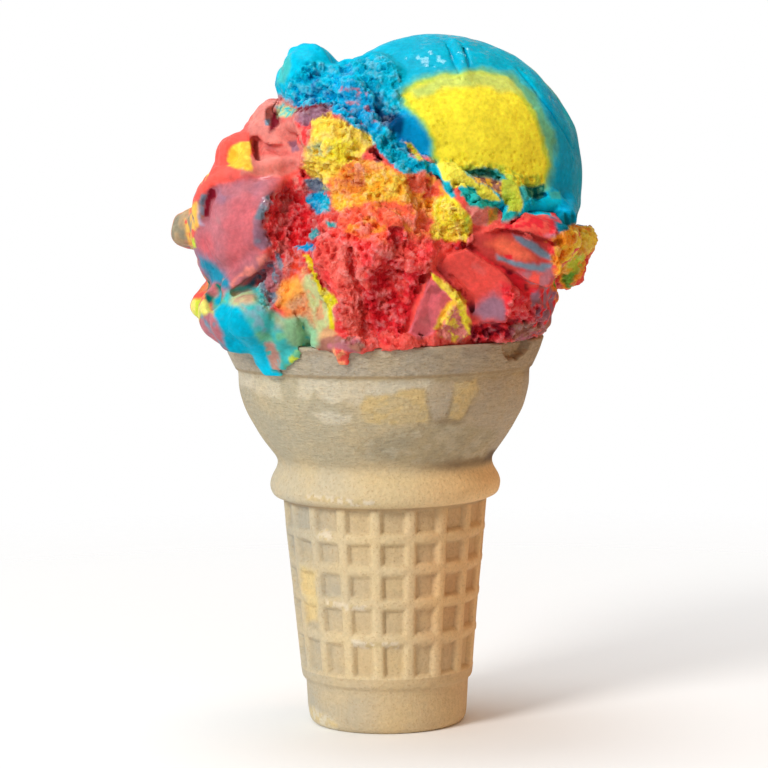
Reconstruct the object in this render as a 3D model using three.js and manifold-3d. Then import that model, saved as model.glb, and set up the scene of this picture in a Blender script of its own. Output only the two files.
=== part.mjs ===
// An ice cream cone: a flat-bottomed wafer cup with a waffle pattern on its stem, and two scoops of
// swirled ice cream pressed together on top of it.
// Sizes are in mm. The origin is the middle of the flat underside, +Z is up, and the side that shows
// the big yellow patch, the red crag and the blue drip faces -Y.
import * as THREE from "three";
import { mergeVertices } from "three/addons/utils/BufferGeometryUtils.js";
import Module from "manifold-3d";

const wasm = await Module();
wasm.setup();

// Wafer cup
const RIM_HEIGHT = 78;
const RIM_RADIUS = 32.2;
const RIM_LIP = 0.5;
const WALL = 2.1;
const FLOOR_HEIGHT = 2.6;
const FOOT_RADIUS = 15.0;
const FOOT_HEIGHT = 9.2;
const LEDGE_HEIGHT = 45.6;
const CUP_SEGMENTS = 54;
const FOOT_SEGMENTS = 48;
const HOLLOW_SEGMENTS = 36;

// Waffle pattern of the stem
const STEM_TOP_RADIUS = 20.6;
const STEM_FOOT_RADIUS = 17.2;
const RIB_COUNT = 18;
const RIB_START_DEGREES = -5.5;
const RIB_RELIEF = 0.95;
const RIB_BASE_WIDTH = 2.7;
const RIB_TOP_WIDTH = 1.2;
const CROSS_RIB_HEIGHTS = [19.2, 26.4, 33.1, 39.5];

// Piece broken out of the rim, at the right of the photographed side
const CHIP_DEGREES = 56;
const CHIP_HALF_LENGTH = 4.9;
const CHIP_DEPTH = 3.2;

// Scoops
const GAP = 0.3;
const SEAM_GAP = 0.45;
const BLEND = 2.6;
const SEARCH_REACH = 62;
const SEARCH_STEP = 0.6;
const LOWER_DETAIL = 12;
const UPPER_DETAIL = 9;
const SMALL_DETAIL = 3;
const LOWER_CORE = new THREE.Vector3(-2, 0, 95);
const UPPER_CORE = new THREE.Vector3(8, -2, 115);

// Each lump is its middle, its half sizes along x, y and z, and the depth of its crags.
const lump = (x, y, z, halfX, halfY, halfZ, crag) => ({
  middle: new THREE.Vector3(x, y, z),
  half: new THREE.Vector3(halfX, halfY, halfZ),
  crag,
});

const LOWER_LUMPS = {
  body: lump(-1.6, 1, 93, 34.5, 33, 22, 1.0),
  skirt: lump(-2.2, 0, 83, 33, 31.5, 9, 0.8),
  leftCheek: lump(-24.4, -6, 100.4, 13.5, 20, 15.5, 0.5),
  leftShoulder: lump(-18.5, -4, 113.5, 11, 13, 10.5, 0.8),
  cheekKnob: lump(-29, -7, 114.5, 4.2, 6, 4.2, 0.3),
  shoulderKnob: lump(-21.5, -4, 121.5, 4, 5, 3.8, 0.4),
  orangeMound: lump(2, -17, 110, 13, 13, 7, 0.9),
  yellowLump: lump(-8, -18, 116.5, 8, 8.5, 8, 0.8),
  yellowNub: lump(14, -26, 104.5, 4.6, 5, 4.5, 0.4),
  redCrag: lump(-1, -16, 95, 14, 19, 17, 1.2),
  upperPlank: lump(24, -13, 97.5, 14.5, 17, 7, 0.4),
  lowerPlank: lump(19, -17, 90, 13, 14, 9, 0.5),
  pinkPlank: lump(6, -26, 86, 7, 7, 8, 0.4),
  rightCrumbs: lump(25.5, -10, 86, 8.5, 14, 9, 1.0),
  rightKnob: lump(37.7, -3, 97.4, 4.6, 6, 5.0, 0.6),
  knobUnderside: lump(35.4, -3, 91.2, 3.8, 5, 4.4, 0.4),
  leftKnob: lump(-38.5, -1, 100.8, 3.9, 5, 4, 0.4),
  lowLeftKnob: lump(-34.8, -3, 84.8, 3.7, 5, 3, 0.3),
  dripBulb: lump(-26.5, -17, 84, 11, 11, 8, 0.3),
  backShoulder: lump(-12, 17, 106, 19, 17, 14, 1.1),
  backRight: lump(17, 16, 92, 16, 18, 14, 1.1),
  backLeft: lump(-21, 14, 90, 14, 17, 12, 0.9),
};

const UPPER_LUMPS = {
  ball: lump(10.9, 0, 109.6, 29.2, 25.4, 28.3, 0.1),
  leftHorn: lump(-13.8, -6, 128.2, 6.6, 8, 8.2, 0.7),
  roughSaddle: lump(-4, -9, 124, 9.5, 12, 8.5, 1.0),
  crumbTrail: lump(5, -21, 116, 5, 5, 6, 0.8),
  backSaddle: lump(-6, 10, 122, 10, 10, 8, 1.0),
  rightLobe: lump(32, -3, 102.5, 6, 11, 7, 0.4),
};

const CURL = lump(30, -15, 105.5, 5.2, 4.6, 2.8, 0.2);
const YELLOW_FLAP = lump(17.5, -22.5, 108, 8.5, 4.8, 3.6, 0.3);

// The drip runs down over the rim on the outside, from its bulb to its tip.
const DRIP_TOP = new THREE.Vector3(-21.6, -25.6, 84);
const DRIP_TIP = new THREE.Vector3(-20.4, -25.6, 75);
const DRIP_TOP_RADIUS = 4.6;
const DRIP_TIP_RADIUS = 2.6;

const toRadians = THREE.MathUtils.degToRad;

// A closed surface as a solid.
function solidOf(geometry) {
  const bare = geometry.clone();
  bare.deleteAttribute("normal");
  bare.deleteAttribute("uv");
  const merged = mergeVertices(bare, 1e-4);
  return new wasm.Manifold(
    new wasm.Mesh({
      numProp: 3,
      vertProperties: new Float32Array(merged.attributes.position.array),
      triVerts: new Uint32Array(merged.index.array),
    }),
  );
}

function geometryOf(solid) {
  const mesh = solid.getMesh();
  const geometry = new THREE.BufferGeometry();
  geometry.setAttribute("position", new THREE.BufferAttribute(new Float32Array(mesh.vertProperties), 3));
  geometry.setIndex(new THREE.BufferAttribute(new Uint32Array(mesh.triVerts), 1));
  geometry.computeVertexNormals();
  return geometry;
}

// Turns an outline of [radius, height] pairs round the z axis. The outline goes up the outside.
function turned(outline, segments) {
  const points = outline.map(([radius, height]) => new THREE.Vector2(radius, height));
  const geometry = new THREE.LatheGeometry(points, segments);
  geometry.rotateX(Math.PI / 2);
  return solidOf(geometry);
}

// Outside of the bowl from the ledge up to the rim.
const BOWL_OUTLINE = [
  [21.5, LEDGE_HEIGHT],
  [22.6, LEDGE_HEIGHT + 0.9],
  [23.2, 48.2],
  [22.9, 49.8],
  [21.9, 51.7],
  [21.6, 53.0],
  [21.9, 54.1],
  [22.8, 55.4],
  [24.5, 57.8],
  [26.0, 60.2],
  [27.4, 62.8],
  [28.4, 65.4],
  [29.0, 68.0],
  [29.2, 71.2],
  [29.9, 72.2],
  [31.2, 75.0],
];

function bowlSolid() {
  const rim = [
    [RIM_RADIUS, RIM_HEIGHT - RIM_LIP],
    [RIM_RADIUS - RIM_LIP, RIM_HEIGHT],
  ];
  return turned([[0, LEDGE_HEIGHT], ...BOWL_OUTLINE, ...rim, [0, RIM_HEIGHT]], CUP_SEGMENTS);
}

// Inside of the cup: the bowl outline moved in by the wall, then the tapered stem down to the floor.
function hollowOutline(clearance, top) {
  const inset = WALL + clearance;
  const stem = [
    [0, FLOOR_HEIGHT + clearance],
    [FOOT_RADIUS - inset, FLOOR_HEIGHT + clearance],
    [STEM_FOOT_RADIUS - RIB_RELIEF - inset + 0.4, FOOT_HEIGHT + 1],
    [STEM_TOP_RADIUS - RIB_RELIEF - inset + 0.4, LEDGE_HEIGHT],
  ];
  const bowl = BOWL_OUTLINE.filter(([, height], i) => height > 50 && i % 2 === 1).map(([radius, height]) => [
    radius - inset,
    height + 0.6,
  ]);
  const mouth = RIM_RADIUS - inset;
  return [...stem, ...bowl, [mouth, RIM_HEIGHT - RIM_LIP], [mouth, top], [0, top]];
}

function stemRadius(height) {
  return THREE.MathUtils.mapLinear(height, FOOT_HEIGHT, LEDGE_HEIGHT, STEM_FOOT_RADIUS, STEM_TOP_RADIUS);
}

// A row of samples over one rib: both edges of its base and both edges of its rounded top.
function ribSamples(middle, baseWidth, topWidth) {
  return [
    { at: middle - baseWidth / 2, raised: false },
    { at: middle - topWidth / 2, raised: true },
    { at: middle + topWidth / 2, raised: true },
    { at: middle + baseWidth / 2, raised: false },
  ];
}

// Stem with upright ribs all round and cross ribs between them, leaving sunken square cells.
function waffleStem() {
  const middleRadius = (STEM_TOP_RADIUS + STEM_FOOT_RADIUS) / 2;
  const asDegrees = (width) => THREE.MathUtils.radToDeg(width / middleRadius);
  const columns = [];
  for (let rib = 0; rib < RIB_COUNT; rib += 1) {
    const middle = RIB_START_DEGREES + (rib * 360) / RIB_COUNT;
    columns.push(...ribSamples(middle, asDegrees(RIB_BASE_WIDTH), asDegrees(RIB_TOP_WIDTH)));
  }
  const rows = [
    { at: FOOT_HEIGHT, raised: true },
    { at: FOOT_HEIGHT + 2, raised: true },
    { at: FOOT_HEIGHT + 3, raised: false },
  ];
  for (const height of CROSS_RIB_HEIGHTS) {
    rows.push(...ribSamples(height, RIB_BASE_WIDTH, RIB_TOP_WIDTH));
  }
  rows.push({ at: LEDGE_HEIGHT - 0.5, raised: false });
  rows.push({ at: LEDGE_HEIGHT + 1, raised: true });

  const positions = [0, 0, rows[0].at, 0, 0, rows[rows.length - 1].at];
  for (const row of rows) {
    for (const column of columns) {
      const sunk = row.raised || column.raised ? 0 : RIB_RELIEF;
      const radius = stemRadius(row.at) - sunk;
      const angle = toRadians(column.at);
      positions.push(radius * Math.sin(angle), -radius * Math.cos(angle), row.at);
    }
  }
  const around = columns.length;
  const vertex = (row, column) => 2 + row * around + (column % around);
  const faces = [];
  for (let column = 0; column < around; column += 1) {
    faces.push(0, vertex(0, column + 1), vertex(0, column));
    faces.push(1, vertex(rows.length - 1, column), vertex(rows.length - 1, column + 1));
    for (let row = 0; row + 1 < rows.length; row += 1) {
      const low = vertex(row, column);
      const lowNext = vertex(row, column + 1);
      const high = vertex(row + 1, column);
      const highNext = vertex(row + 1, column + 1);
      faces.push(low, lowNext, highNext, low, highNext, high);
    }
  }
  const geometry = new THREE.BufferGeometry();
  geometry.setAttribute("position", new THREE.Float32BufferAttribute(positions, 3));
  geometry.setIndex(faces);
  return solidOf(geometry);
}

function footSolid() {
  return turned(
    [
      [0, 0],
      [FOOT_RADIUS - 0.4, 0],
      [FOOT_RADIUS + 0.6, 0.9],
      [FOOT_RADIUS + 1.0, 2.6],
      [FOOT_RADIUS + 1.3, FOOT_HEIGHT + 0.5],
      [0, FOOT_HEIGHT + 0.5],
    ],
    FOOT_SEGMENTS,
  );
}

// The rough bite that the broken piece left in the outer skin of the rim.
function chipSolid() {
  const rough = new THREE.IcosahedronGeometry(1, 1);
  rough.scale(CHIP_HALF_LENGTH, 2.2, CHIP_DEPTH);
  rough.translate(0, -(RIM_RADIUS + 0.4), RIM_HEIGHT);
  rough.rotateZ(toRadians(CHIP_DEGREES));
  return solidOf(rough);
}

function waferCupSolid() {
  const outside = bowlSolid().add(waffleStem()).add(footSolid());
  const hollow = turned(hollowOutline(0, RIM_HEIGHT + 1), HOLLOW_SEGMENTS);
  return outside.subtract(hollow).subtract(chipSolid());
}

// Waves that break up the surface of rough ice cream, from -1 to 1.
function crags(p) {
  const wide = Math.sin(0.62 * p.x + 1.4 * Math.sin(0.37 * p.z)) * Math.sin(0.58 * p.z + 1.1 * Math.sin(0.41 * p.y));
  const close = Math.sin(1.17 * p.y - 0.6 * p.z) * Math.sin(1.05 * p.x + 0.8 * p.z);
  return 0.6 * wide + 0.4 * close;
}

function lumpDistance(p, { middle, half, crag }) {
  const x = (p.x - middle.x) / half.x;
  const y = (p.y - middle.y) / half.y;
  const z = (p.z - middle.z) / half.z;
  const scaled = Math.hypot(x, y, z);
  const steepness = Math.max(Math.hypot(x / half.x, y / half.y, z / half.z), 1e-6);
  return (scaled * (scaled - 1)) / steepness - crag * crags(p);
}

function blended(a, b) {
  const near = Math.max(BLEND - Math.abs(a - b), 0) / BLEND;
  return Math.min(a, b) - (near * near * BLEND) / 4;
}

function massDistance(p, lumps) {
  return lumps.map((one) => lumpDistance(p, one)).reduce(blended);
}

// How far the surface of the lumps lies from the core in one direction, found from the outside in.
function surfaceReach(core, direction, lumps) {
  const p = new THREE.Vector3();
  const inside = (reach) => massDistance(p.copy(core).addScaledVector(direction, reach), lumps) < 0;
  let near = SEARCH_REACH;
  while (near > SEARCH_STEP && !inside(near)) near -= SEARCH_STEP;
  let far = near + SEARCH_STEP;
  for (let step = 0; step < 8; step += 1) {
    const half = (near + far) / 2;
    if (inside(half)) near = half;
    else far = half;
  }
  return near;
}

// A skin of triangles drawn round the lumps as seen from the core, moved out by the margin.
function wrapped(core, detail, lumps, margin = 0) {
  const sphere = new THREE.IcosahedronGeometry(1, detail);
  sphere.deleteAttribute("normal");
  sphere.deleteAttribute("uv");
  const skin = mergeVertices(sphere, 1e-5);
  const position = skin.attributes.position;
  const direction = new THREE.Vector3();
  for (let i = 0; i < position.count; i += 1) {
    direction.fromBufferAttribute(position, i).normalize();
    const reach = surfaceReach(core, direction, lumps) + margin;
    position.setXYZ(
      i,
      core.x + reach * direction.x,
      core.y + reach * direction.y,
      core.z + reach * direction.z,
    );
  }
  return solidOf(skin);
}

function smallLump(one, margin = 0) {
  return wrapped(one.middle, SMALL_DETAIL, [one], margin);
}

// The drip: a tapering round tongue between two ball ends.
function dripSolid() {
  const length = DRIP_TOP.distanceTo(DRIP_TIP);
  const outline = [];
  const steps = 5;
  for (let step = 0; step <= steps; step += 1) {
    const angle = (-90 + (90 * step) / steps) * THREE.MathUtils.DEG2RAD;
    outline.push([DRIP_TIP_RADIUS * Math.cos(angle), DRIP_TIP_RADIUS * Math.sin(angle)]);
  }
  for (let step = 0; step <= steps; step += 1) {
    const angle = ((90 * step) / steps) * THREE.MathUtils.DEG2RAD;
    outline.push([DRIP_TOP_RADIUS * Math.cos(angle), length + DRIP_TOP_RADIUS * Math.sin(angle)]);
  }
  outline[0][0] = 0;
  outline[outline.length - 1][0] = 0;
  const points = outline.map(([radius, height]) => new THREE.Vector2(radius, height));
  const geometry = new THREE.LatheGeometry(points, 14);
  const lean = new THREE.Quaternion().setFromUnitVectors(
    new THREE.Vector3(0, 1, 0),
    DRIP_TOP.clone().sub(DRIP_TIP).normalize(),
  );
  geometry.applyQuaternion(lean);
  geometry.translate(DRIP_TIP.x, DRIP_TIP.y, DRIP_TIP.z);
  return solidOf(geometry);
}

// The room that the wafer wall takes up, a little larger than the wall all over.
function wallRoom() {
  const outside = BOWL_OUTLINE.map(([radius, height]) => [radius + GAP, height]);
  const top = RIM_HEIGHT + GAP;
  const filled = turned(
    [[0, LEDGE_HEIGHT], ...outside, [RIM_RADIUS + GAP, RIM_HEIGHT - RIM_LIP], [RIM_RADIUS, top], [0, top]],
    CUP_SEGMENTS,
  );
  return filled.subtract(turned(hollowOutline(GAP, top + 1), HOLLOW_SEGMENTS));
}

function upperScoopSolid(margin) {
  return wrapped(UPPER_CORE, UPPER_DETAIL, Object.values(UPPER_LUMPS), margin)
    .add(smallLump(CURL, margin))
    .add(smallLump(YELLOW_FLAP, margin));
}

function lowerScoopSolid() {
  const fill = turned(hollowOutline(GAP, RIM_HEIGHT), HOLLOW_SEGMENTS);
  const mass = wrapped(LOWER_CORE, LOWER_DETAIL, Object.values(LOWER_LUMPS)).add(dripSolid()).add(fill);
  return mass.subtract(wallRoom()).subtract(upperScoopSolid(SEAM_GAP));
}

// Keeps the one large body when a cut leaves loose slivers beside it.
function largestBody(solid) {
  const bodies = solid.decompose();
  bodies.sort((a, b) => b.volume() - a.volume());
  return bodies[0];
}

function named(name, solid, colour, roughness) {
  const material = new THREE.MeshStandardMaterial({ color: colour, roughness, metalness: 0 });
  const mesh = new THREE.Mesh(geometryOf(largestBody(solid)), material);
  mesh.name = name;
  return mesh;
}

const cone = new THREE.Group();
cone.add(named("wafer_cup", waferCupSolid(), 0xd2b98c, 0.9));
cone.add(named("lower_scoop", lowerScoopSolid(), 0xe8605a, 0.55));
cone.add(named("upper_scoop", upperScoopSolid(0), 0x14a6d2, 0.35));

export default cone;
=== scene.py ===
# An ice cream cone: a flat-bottomed wafer cup with a waffle stem, and two scoops of swirled ice cream.
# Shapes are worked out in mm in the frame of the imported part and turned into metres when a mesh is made.
import math
from concurrent.futures import ThreadPoolExecutor

import bpy
import numpy as np
from mathutils import Matrix


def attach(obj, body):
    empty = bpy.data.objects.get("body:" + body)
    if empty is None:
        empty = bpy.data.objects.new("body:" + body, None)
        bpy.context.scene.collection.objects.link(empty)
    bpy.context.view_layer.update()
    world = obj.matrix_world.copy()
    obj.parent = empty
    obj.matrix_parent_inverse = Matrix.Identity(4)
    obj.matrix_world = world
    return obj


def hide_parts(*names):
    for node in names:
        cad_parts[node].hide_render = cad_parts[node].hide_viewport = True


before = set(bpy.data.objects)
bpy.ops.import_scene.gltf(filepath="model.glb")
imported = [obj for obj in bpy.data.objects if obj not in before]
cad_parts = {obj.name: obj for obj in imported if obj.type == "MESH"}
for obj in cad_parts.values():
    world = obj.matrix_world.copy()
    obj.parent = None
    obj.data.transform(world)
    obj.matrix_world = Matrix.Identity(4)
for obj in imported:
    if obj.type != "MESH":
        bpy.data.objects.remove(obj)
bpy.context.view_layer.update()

MM = 0.001

# The photograph's camera: level distance and height in mm, tilt and roll in degrees, sizes in pixels
CAMERA_DISTANCE = 580.0
CAMERA_HEIGHT = 121.0
CAMERA_TILT = 5.2
CAMERA_ROLL = 0.656
FOCAL_PIXELS = 2900.0
PICTURE_SIZE = 768
PICTURE_MIDDLE = PICTURE_SIZE / 2
PIXELS_PER_MM = 5.0

# How far from the camera, in mm, a line of sight is followed, and the step along it
NEAREST_SIGHT = 530.0
FARTHEST_SIGHT = 640.0
SIGHT_STEP = 0.4

# Grid of the ice cream surfaces: its step in mm, the steps in a block, and the most faces in one object
GRID_STEP = 0.34
BLOCK = 4
CELL_CORNERS = list(np.ndindex(2, 2, 2))
MOST_FACES = 98000

# Wafer cup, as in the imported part
RIM_HEIGHT = 78.0
RIM_RADIUS = 32.1
WALL = 2.1
FOOT_HEIGHT = 9.2
LEDGE_HEIGHT = 45.6
STEM_TOP_RADIUS = 20.6
STEM_FOOT_RADIUS = 17.2
RIB_COUNT = 18
RIB_START_DEGREES = -5.5
RIB_RELIEF = 0.95
CROSS_RIB_HEIGHTS = (19.2, 26.4, 33.1, 39.5)
FOOT_HEIGHTS = [0.0, 0.35, 1.0, 2.6, 5.5, 8.6, 9.2, 9.7, 11.2]
FOOT_RADII = [14.7, 15.3, 15.7, 16.0, 16.2, 16.4, 16.9, 17.15, 17.35]
STEM_START = 11.4
BOWL_HEIGHTS = [
    45.6, 46.5, 48.2, 49.8, 51.7, 53.0, 54.1, 55.4, 57.8, 60.2, 62.8, 65.4, 68.0, 71.2, 72.2, 75.0, 78.0,
]
BOWL_RADII = [
    21.5, 22.6, 23.2, 22.9, 21.9, 21.6, 21.9, 22.8, 24.5, 26.0, 27.4, 28.4, 29.0, 29.2, 29.9, 31.2, 32.2,
]

# Points round the cup, and rows of points up each part of its outside
CUP_COLUMNS = 384
FOOT_ROWS = 26
STEM_ROWS = 84
BOWL_ROWS = 90

# Piece broken out of the rim, at the right of the photographed side
CHIP_DEGREES = 55.0
CHIP_HALF_LENGTH = 5.0
CHIP_DEPTH = 4.0
CHIP_SUNK = 1.8

# Ice cream, in mm: how widely lumps melt together, how far ropes and relief reach, how thick a broken face
# is, the gaps to the cup and between the scoops, and the height in the cup below which nothing of it shows
BLEND = 2.6
ROPE_REACH = 3.0
FARTHEST_RELIEF = 3.4
FACE_DEPTH = 3.0
WALL_CLEARANCE = 0.12
SEAM_CLEARANCE = 0.08
HIDDEN_HEIGHT = 71.0

# Sizes, heights and depths of the ice cream's relief in mm
CLUMP_SIZE = 2.7
CLUMP_HEIGHT = 0.95
SWELL_HEIGHT = 0.65
FOLD_SIZE = 7.0
FOLD_HEIGHT = 0.3
PIT_SIZE = 1.4
PIT_DEPTH = 0.8
CRUMB_SIZE = 0.8
CRUMB_HEIGHT = 0.55
BUBBLE_SIZE = 2.6
BUBBLE_DEPTH = 0.16

# Strength of the even light, and power of the lamps in watts
AMBIENT = 0.58
KEY_POWER = 12.4
WARM_POWER = 1.3
TOP_POWER = 3.0

draws = np.random.default_rng(20)


# Picture and space

def to_picture(points):
    """Pixel columns and rows at which the photograph's camera sees points given in mm."""
    tilt = math.radians(CAMERA_TILT)
    roll = math.radians(CAMERA_ROLL)
    ahead = CAMERA_DISTANCE + points[:, 1]
    above = points[:, 2] - CAMERA_HEIGHT
    depth = ahead * math.cos(tilt) - above * math.sin(tilt)
    right = FOCAL_PIXELS * points[:, 0] / depth
    up = FOCAL_PIXELS * (ahead * math.sin(tilt) + above * math.cos(tilt)) / depth
    column = PICTURE_MIDDLE + right * math.cos(roll) - up * math.sin(roll)
    row = PICTURE_MIDDLE - right * math.sin(roll) - up * math.cos(roll)
    return column, row


def sight_line(column, row):
    """Start and unit direction, in mm, of the line of sight through one pixel of the photograph."""
    tilt = math.radians(CAMERA_TILT)
    roll = math.radians(CAMERA_ROLL)
    across = column - PICTURE_MIDDLE
    upward = PICTURE_MIDDLE - row
    right = across * math.cos(roll) + upward * math.sin(roll)
    up = -across * math.sin(roll) + upward * math.cos(roll)
    direction = np.array([
        right,
        FOCAL_PIXELS * math.cos(tilt) + up * math.sin(tilt),
        -FOCAL_PIXELS * math.sin(tilt) + up * math.cos(tilt),
    ])
    return np.array([0.0, -CAMERA_DISTANCE, CAMERA_HEIGHT]), direction / np.linalg.norm(direction)


# Noise

JITTER = draws.random((4, 32, 32, 32, 3)).astype(np.float32)
LATTICE = draws.uniform(-1, 1, (8, 32, 32, 32)).astype(np.float32)


def wavy(points, size, layer=0):
    """Smooth noise from about -1 to 1 with features of one size, in mm."""
    scaled = points / size + 7.3 * (layer + 1)
    base = np.floor(scaled)
    part = scaled - base
    ease = part * part * part * (part * (part * 6 - 15) + 10)
    cell = base.astype(np.int32) & 31
    after = (cell + 1) & 31
    table = LATTICE[layer % 8]
    total = 0.0
    for corner in range(8):
        ends = [(corner >> axis) & 1 for axis in range(3)]
        picked = [(after if ends[axis] else cell)[:, axis] for axis in range(3)]
        weight = 1.0
        for axis in range(3):
            weight = weight * (ease[:, axis] if ends[axis] else 1 - ease[:, axis])
        total = total + weight * table[picked[0], picked[1], picked[2]]
    return total


def layered(points, size, octaves=3, layer=0):
    total = 0.0
    share = 1.0
    for octave in range(octaves):
        total = total + share * wavy(points, size / 2 ** octave, layer + octave)
        share *= 0.5
    return total


def crumbs_near(points, size, layer=0):
    """Distance to the nearest crumb middle, as a share of the crumb size, and where that middle is in mm."""
    scaled = (points / size + 3.7 * layer).astype(np.float32)
    base = np.floor(scaled).astype(np.int32)
    nearest = np.full(len(points), 9.0, np.float32)
    place = np.zeros((len(points), 3), np.float32)
    table = JITTER[layer % 4]
    for step in np.ndindex(3, 3, 3):
        cell = base + np.array(step, np.int32) - 1
        inside = cell & 31
        middle = cell + table[inside[:, 0], inside[:, 1], inside[:, 2]]
        gap = middle - scaled
        squared = np.einsum("ij,ij->i", gap, gap)
        closer = squared < nearest
        nearest[closer] = squared[closer]
        place[closer] = middle[closer]
    return np.sqrt(nearest), (place - 3.7 * layer) * size


def in_parallel(function, points, chunk=40000):
    """A function of many points, worked out on several threads."""
    parts = np.array_split(points, max(1, len(points) // chunk))
    with ThreadPoolExecutor(4) as pool:
        return np.concatenate(list(pool.map(function, parts)))


def soft_step(value, low, high):
    share = np.clip((value - low) / (high - low), 0, 1)
    return share * share * (3 - 2 * share)


# Lumps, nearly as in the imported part: middle, half sizes and the depth of the crags, in mm

LOWER_LUMPS = {
    "body": (-1.6, 1, 93, 34.5, 33, 22, 1.0),
    "skirt": (-2.2, 0, 83, 33, 31.5, 9, 0.8),
    "left_cheek": (-24.4, -6, 100.4, 13.5, 20, 15.5, 0.5),
    "left_shoulder": (-18.5, -4, 113.5, 11, 13, 10.5, 0.8),
    "cheek_knob": (-28.2, -7, 114.5, 4.2, 6, 4.2, 0.3),
    "shoulder_knob": (-21.5, -4, 121.5, 4, 5, 3.8, 0.4),
    "orange_mound": (2, -17, 110, 13, 13, 7, 0.9),
    "yellow_lump": (-8, -18, 116.5, 8, 8.5, 8, 0.8),
    "yellow_nub": (14, -26, 104.5, 4.6, 5, 4.5, 0.4),
    "red_crag": (-1, -16, 95, 14, 19, 17, 1.2),
    "upper_plank": (24, -13, 97.5, 14.5, 17, 7, 0.4),
    "lower_plank": (19, -17, 90, 13, 14, 9, 0.5),
    "pink_plank": (6, -26, 86, 7, 7, 8, 0.4),
    "right_crumbs": (25.5, -10, 86, 8.5, 14, 9, 1.0),
    "right_knob": (37.8, -3, 96.1, 4.5, 6, 4.2, 0.6),
    "knob_underside": (36.2, -3, 91.4, 4.1, 5, 4.2, 0.4),
    "left_knob": (-38.3, -1, 99.8, 3.8, 5, 3.5, 0.4),
    "low_left_knob": (-34.8, -3, 84.8, 3.7, 5, 3, 0.3),
    "drip_bulb": (-25.6, -17, 84, 10.4, 11, 7.8, 0.3),
    "back_shoulder": (-12, 17, 106, 19, 17, 14, 1.1),
    "back_right": (17, 16, 92, 16, 18, 14, 1.1),
    "back_left": (-21, 14, 90, 14, 17, 12, 0.9),
}

UPPER_LUMPS = {
    "ball": (10.9, 0, 109.6, 29.2, 25.4, 28.3, 0.1),
    "left_horn": (-13.8, -6, 128.2, 6.6, 8, 8.2, 0.7),
    "rough_saddle": (-4, -9, 124, 9.5, 12, 8.5, 1.0),
    "crumb_trail": (5, -21, 116, 5, 5, 6, 0.8),
    "back_saddle": (-6, 10, 122, 10, 10, 8, 0.4),
    "right_lobe": (32, -3, 102.5, 6, 11, 7, 0.4),
}


def crags(points):
    x, y, z = points[:, 0], points[:, 1], points[:, 2]
    wide = np.sin(0.62 * x + 1.4 * np.sin(0.37 * z)) * np.sin(0.58 * z + 1.1 * np.sin(0.41 * y))
    close = np.sin(1.17 * y - 0.6 * z) * np.sin(1.05 * x + 0.8 * z)
    return 0.6 * wide + 0.4 * close


def blended(a, b, width=BLEND):
    near = np.maximum(width - np.abs(a - b), 0) / width
    return np.minimum(a, b) - near * near * width / 4


def carved(a, b, width=0.6):
    """The solid a with the solid b taken out of it."""
    return -blended(-a, b, width)


def lump_distance(points, lump, crag_waves):
    middle = np.array(lump[0:3])
    half = np.array(lump[3:6])
    scaled = (points - middle) / half
    length = np.sqrt((scaled ** 2).sum(1))
    steepness = np.maximum(np.sqrt(((scaled / half) ** 2).sum(1)), 1e-6)
    return length * (length - 1) / steepness - lump[6] * crag_waves


def mass_distance(points, lumps):
    waves = crags(points)
    total = None
    for lump in lumps.values():
        one = lump_distance(points, lump, waves)
        total = one if total is None else blended(total, one)
    return total


def bar_distance(points, start, end, start_radius, end_radius):
    """Distance to a round bar that tapers between two points."""
    axis = end - start
    length = max(float(axis @ axis), 1e-9)
    share = np.clip((points - start) @ axis / length, 0, 1)
    gap = points - start - share[:, None] * axis
    return np.sqrt((gap ** 2).sum(1)) - (start_radius + share * (end_radius - start_radius))


def plane_distance(points, places):
    """Distance in front of the plane through three places, toward the camera."""
    normal = np.cross(places[1] - places[0], places[2] - places[0])
    normal = normal / np.linalg.norm(normal)
    if normal[1] > 0:
        normal = -normal
    return (points - places[0]) @ normal


# Forms that are placed by a pixel of the photograph and sit on the ice cream there

def spot(column, row, sink=0.0):
    """The point in mm where the line of sight through a pixel meets the scoops, sunk along that line."""
    start, direction = sight_line(column, row)
    reaches = np.arange(NEAREST_SIGHT, FARTHEST_SIGHT, SIGHT_STEP)
    points = start + reaches[:, None] * direction
    solid = np.minimum(mass_distance(points, LOWER_LUMPS), mass_distance(points, UPPER_LUMPS))
    radius = np.hypot(points[:, 0], points[:, 1])
    bowl = np.maximum(radius - bowl_radius(points[:, 2]), points[:, 2] - RIM_HEIGHT)
    solid = np.minimum(solid, bowl)
    hits = np.nonzero(solid < 0)[0]
    first = hits[0] if len(hits) else np.argmin(solid)
    return points[first] + sink * direction


def rope(pixels, radii, sink):
    """A chain of tapering bars laid along pixels of the photograph; radii and sink are in mm."""
    places = [spot(column, row, sink) for column, row in pixels]
    return [(places[i], places[i + 1], radii[i], radii[i + 1]) for i in range(len(places) - 1)]


def rope_distance(points, bars):
    """Distance to a chain of bars; points well away from it are only said to be far."""
    ends = np.array([end for bar in bars for end in bar[:2]])
    reach = max(max(bar[2:]) for bar in bars) + ROPE_REACH
    close = np.all((points > ends.min(0) - reach) & (points < ends.max(0) + reach), 1)
    total = np.full(len(points), ROPE_REACH)
    for bar in bars:
        total[close] = np.minimum(total[close], bar_distance(points[close], *bar))
    return total


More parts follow.
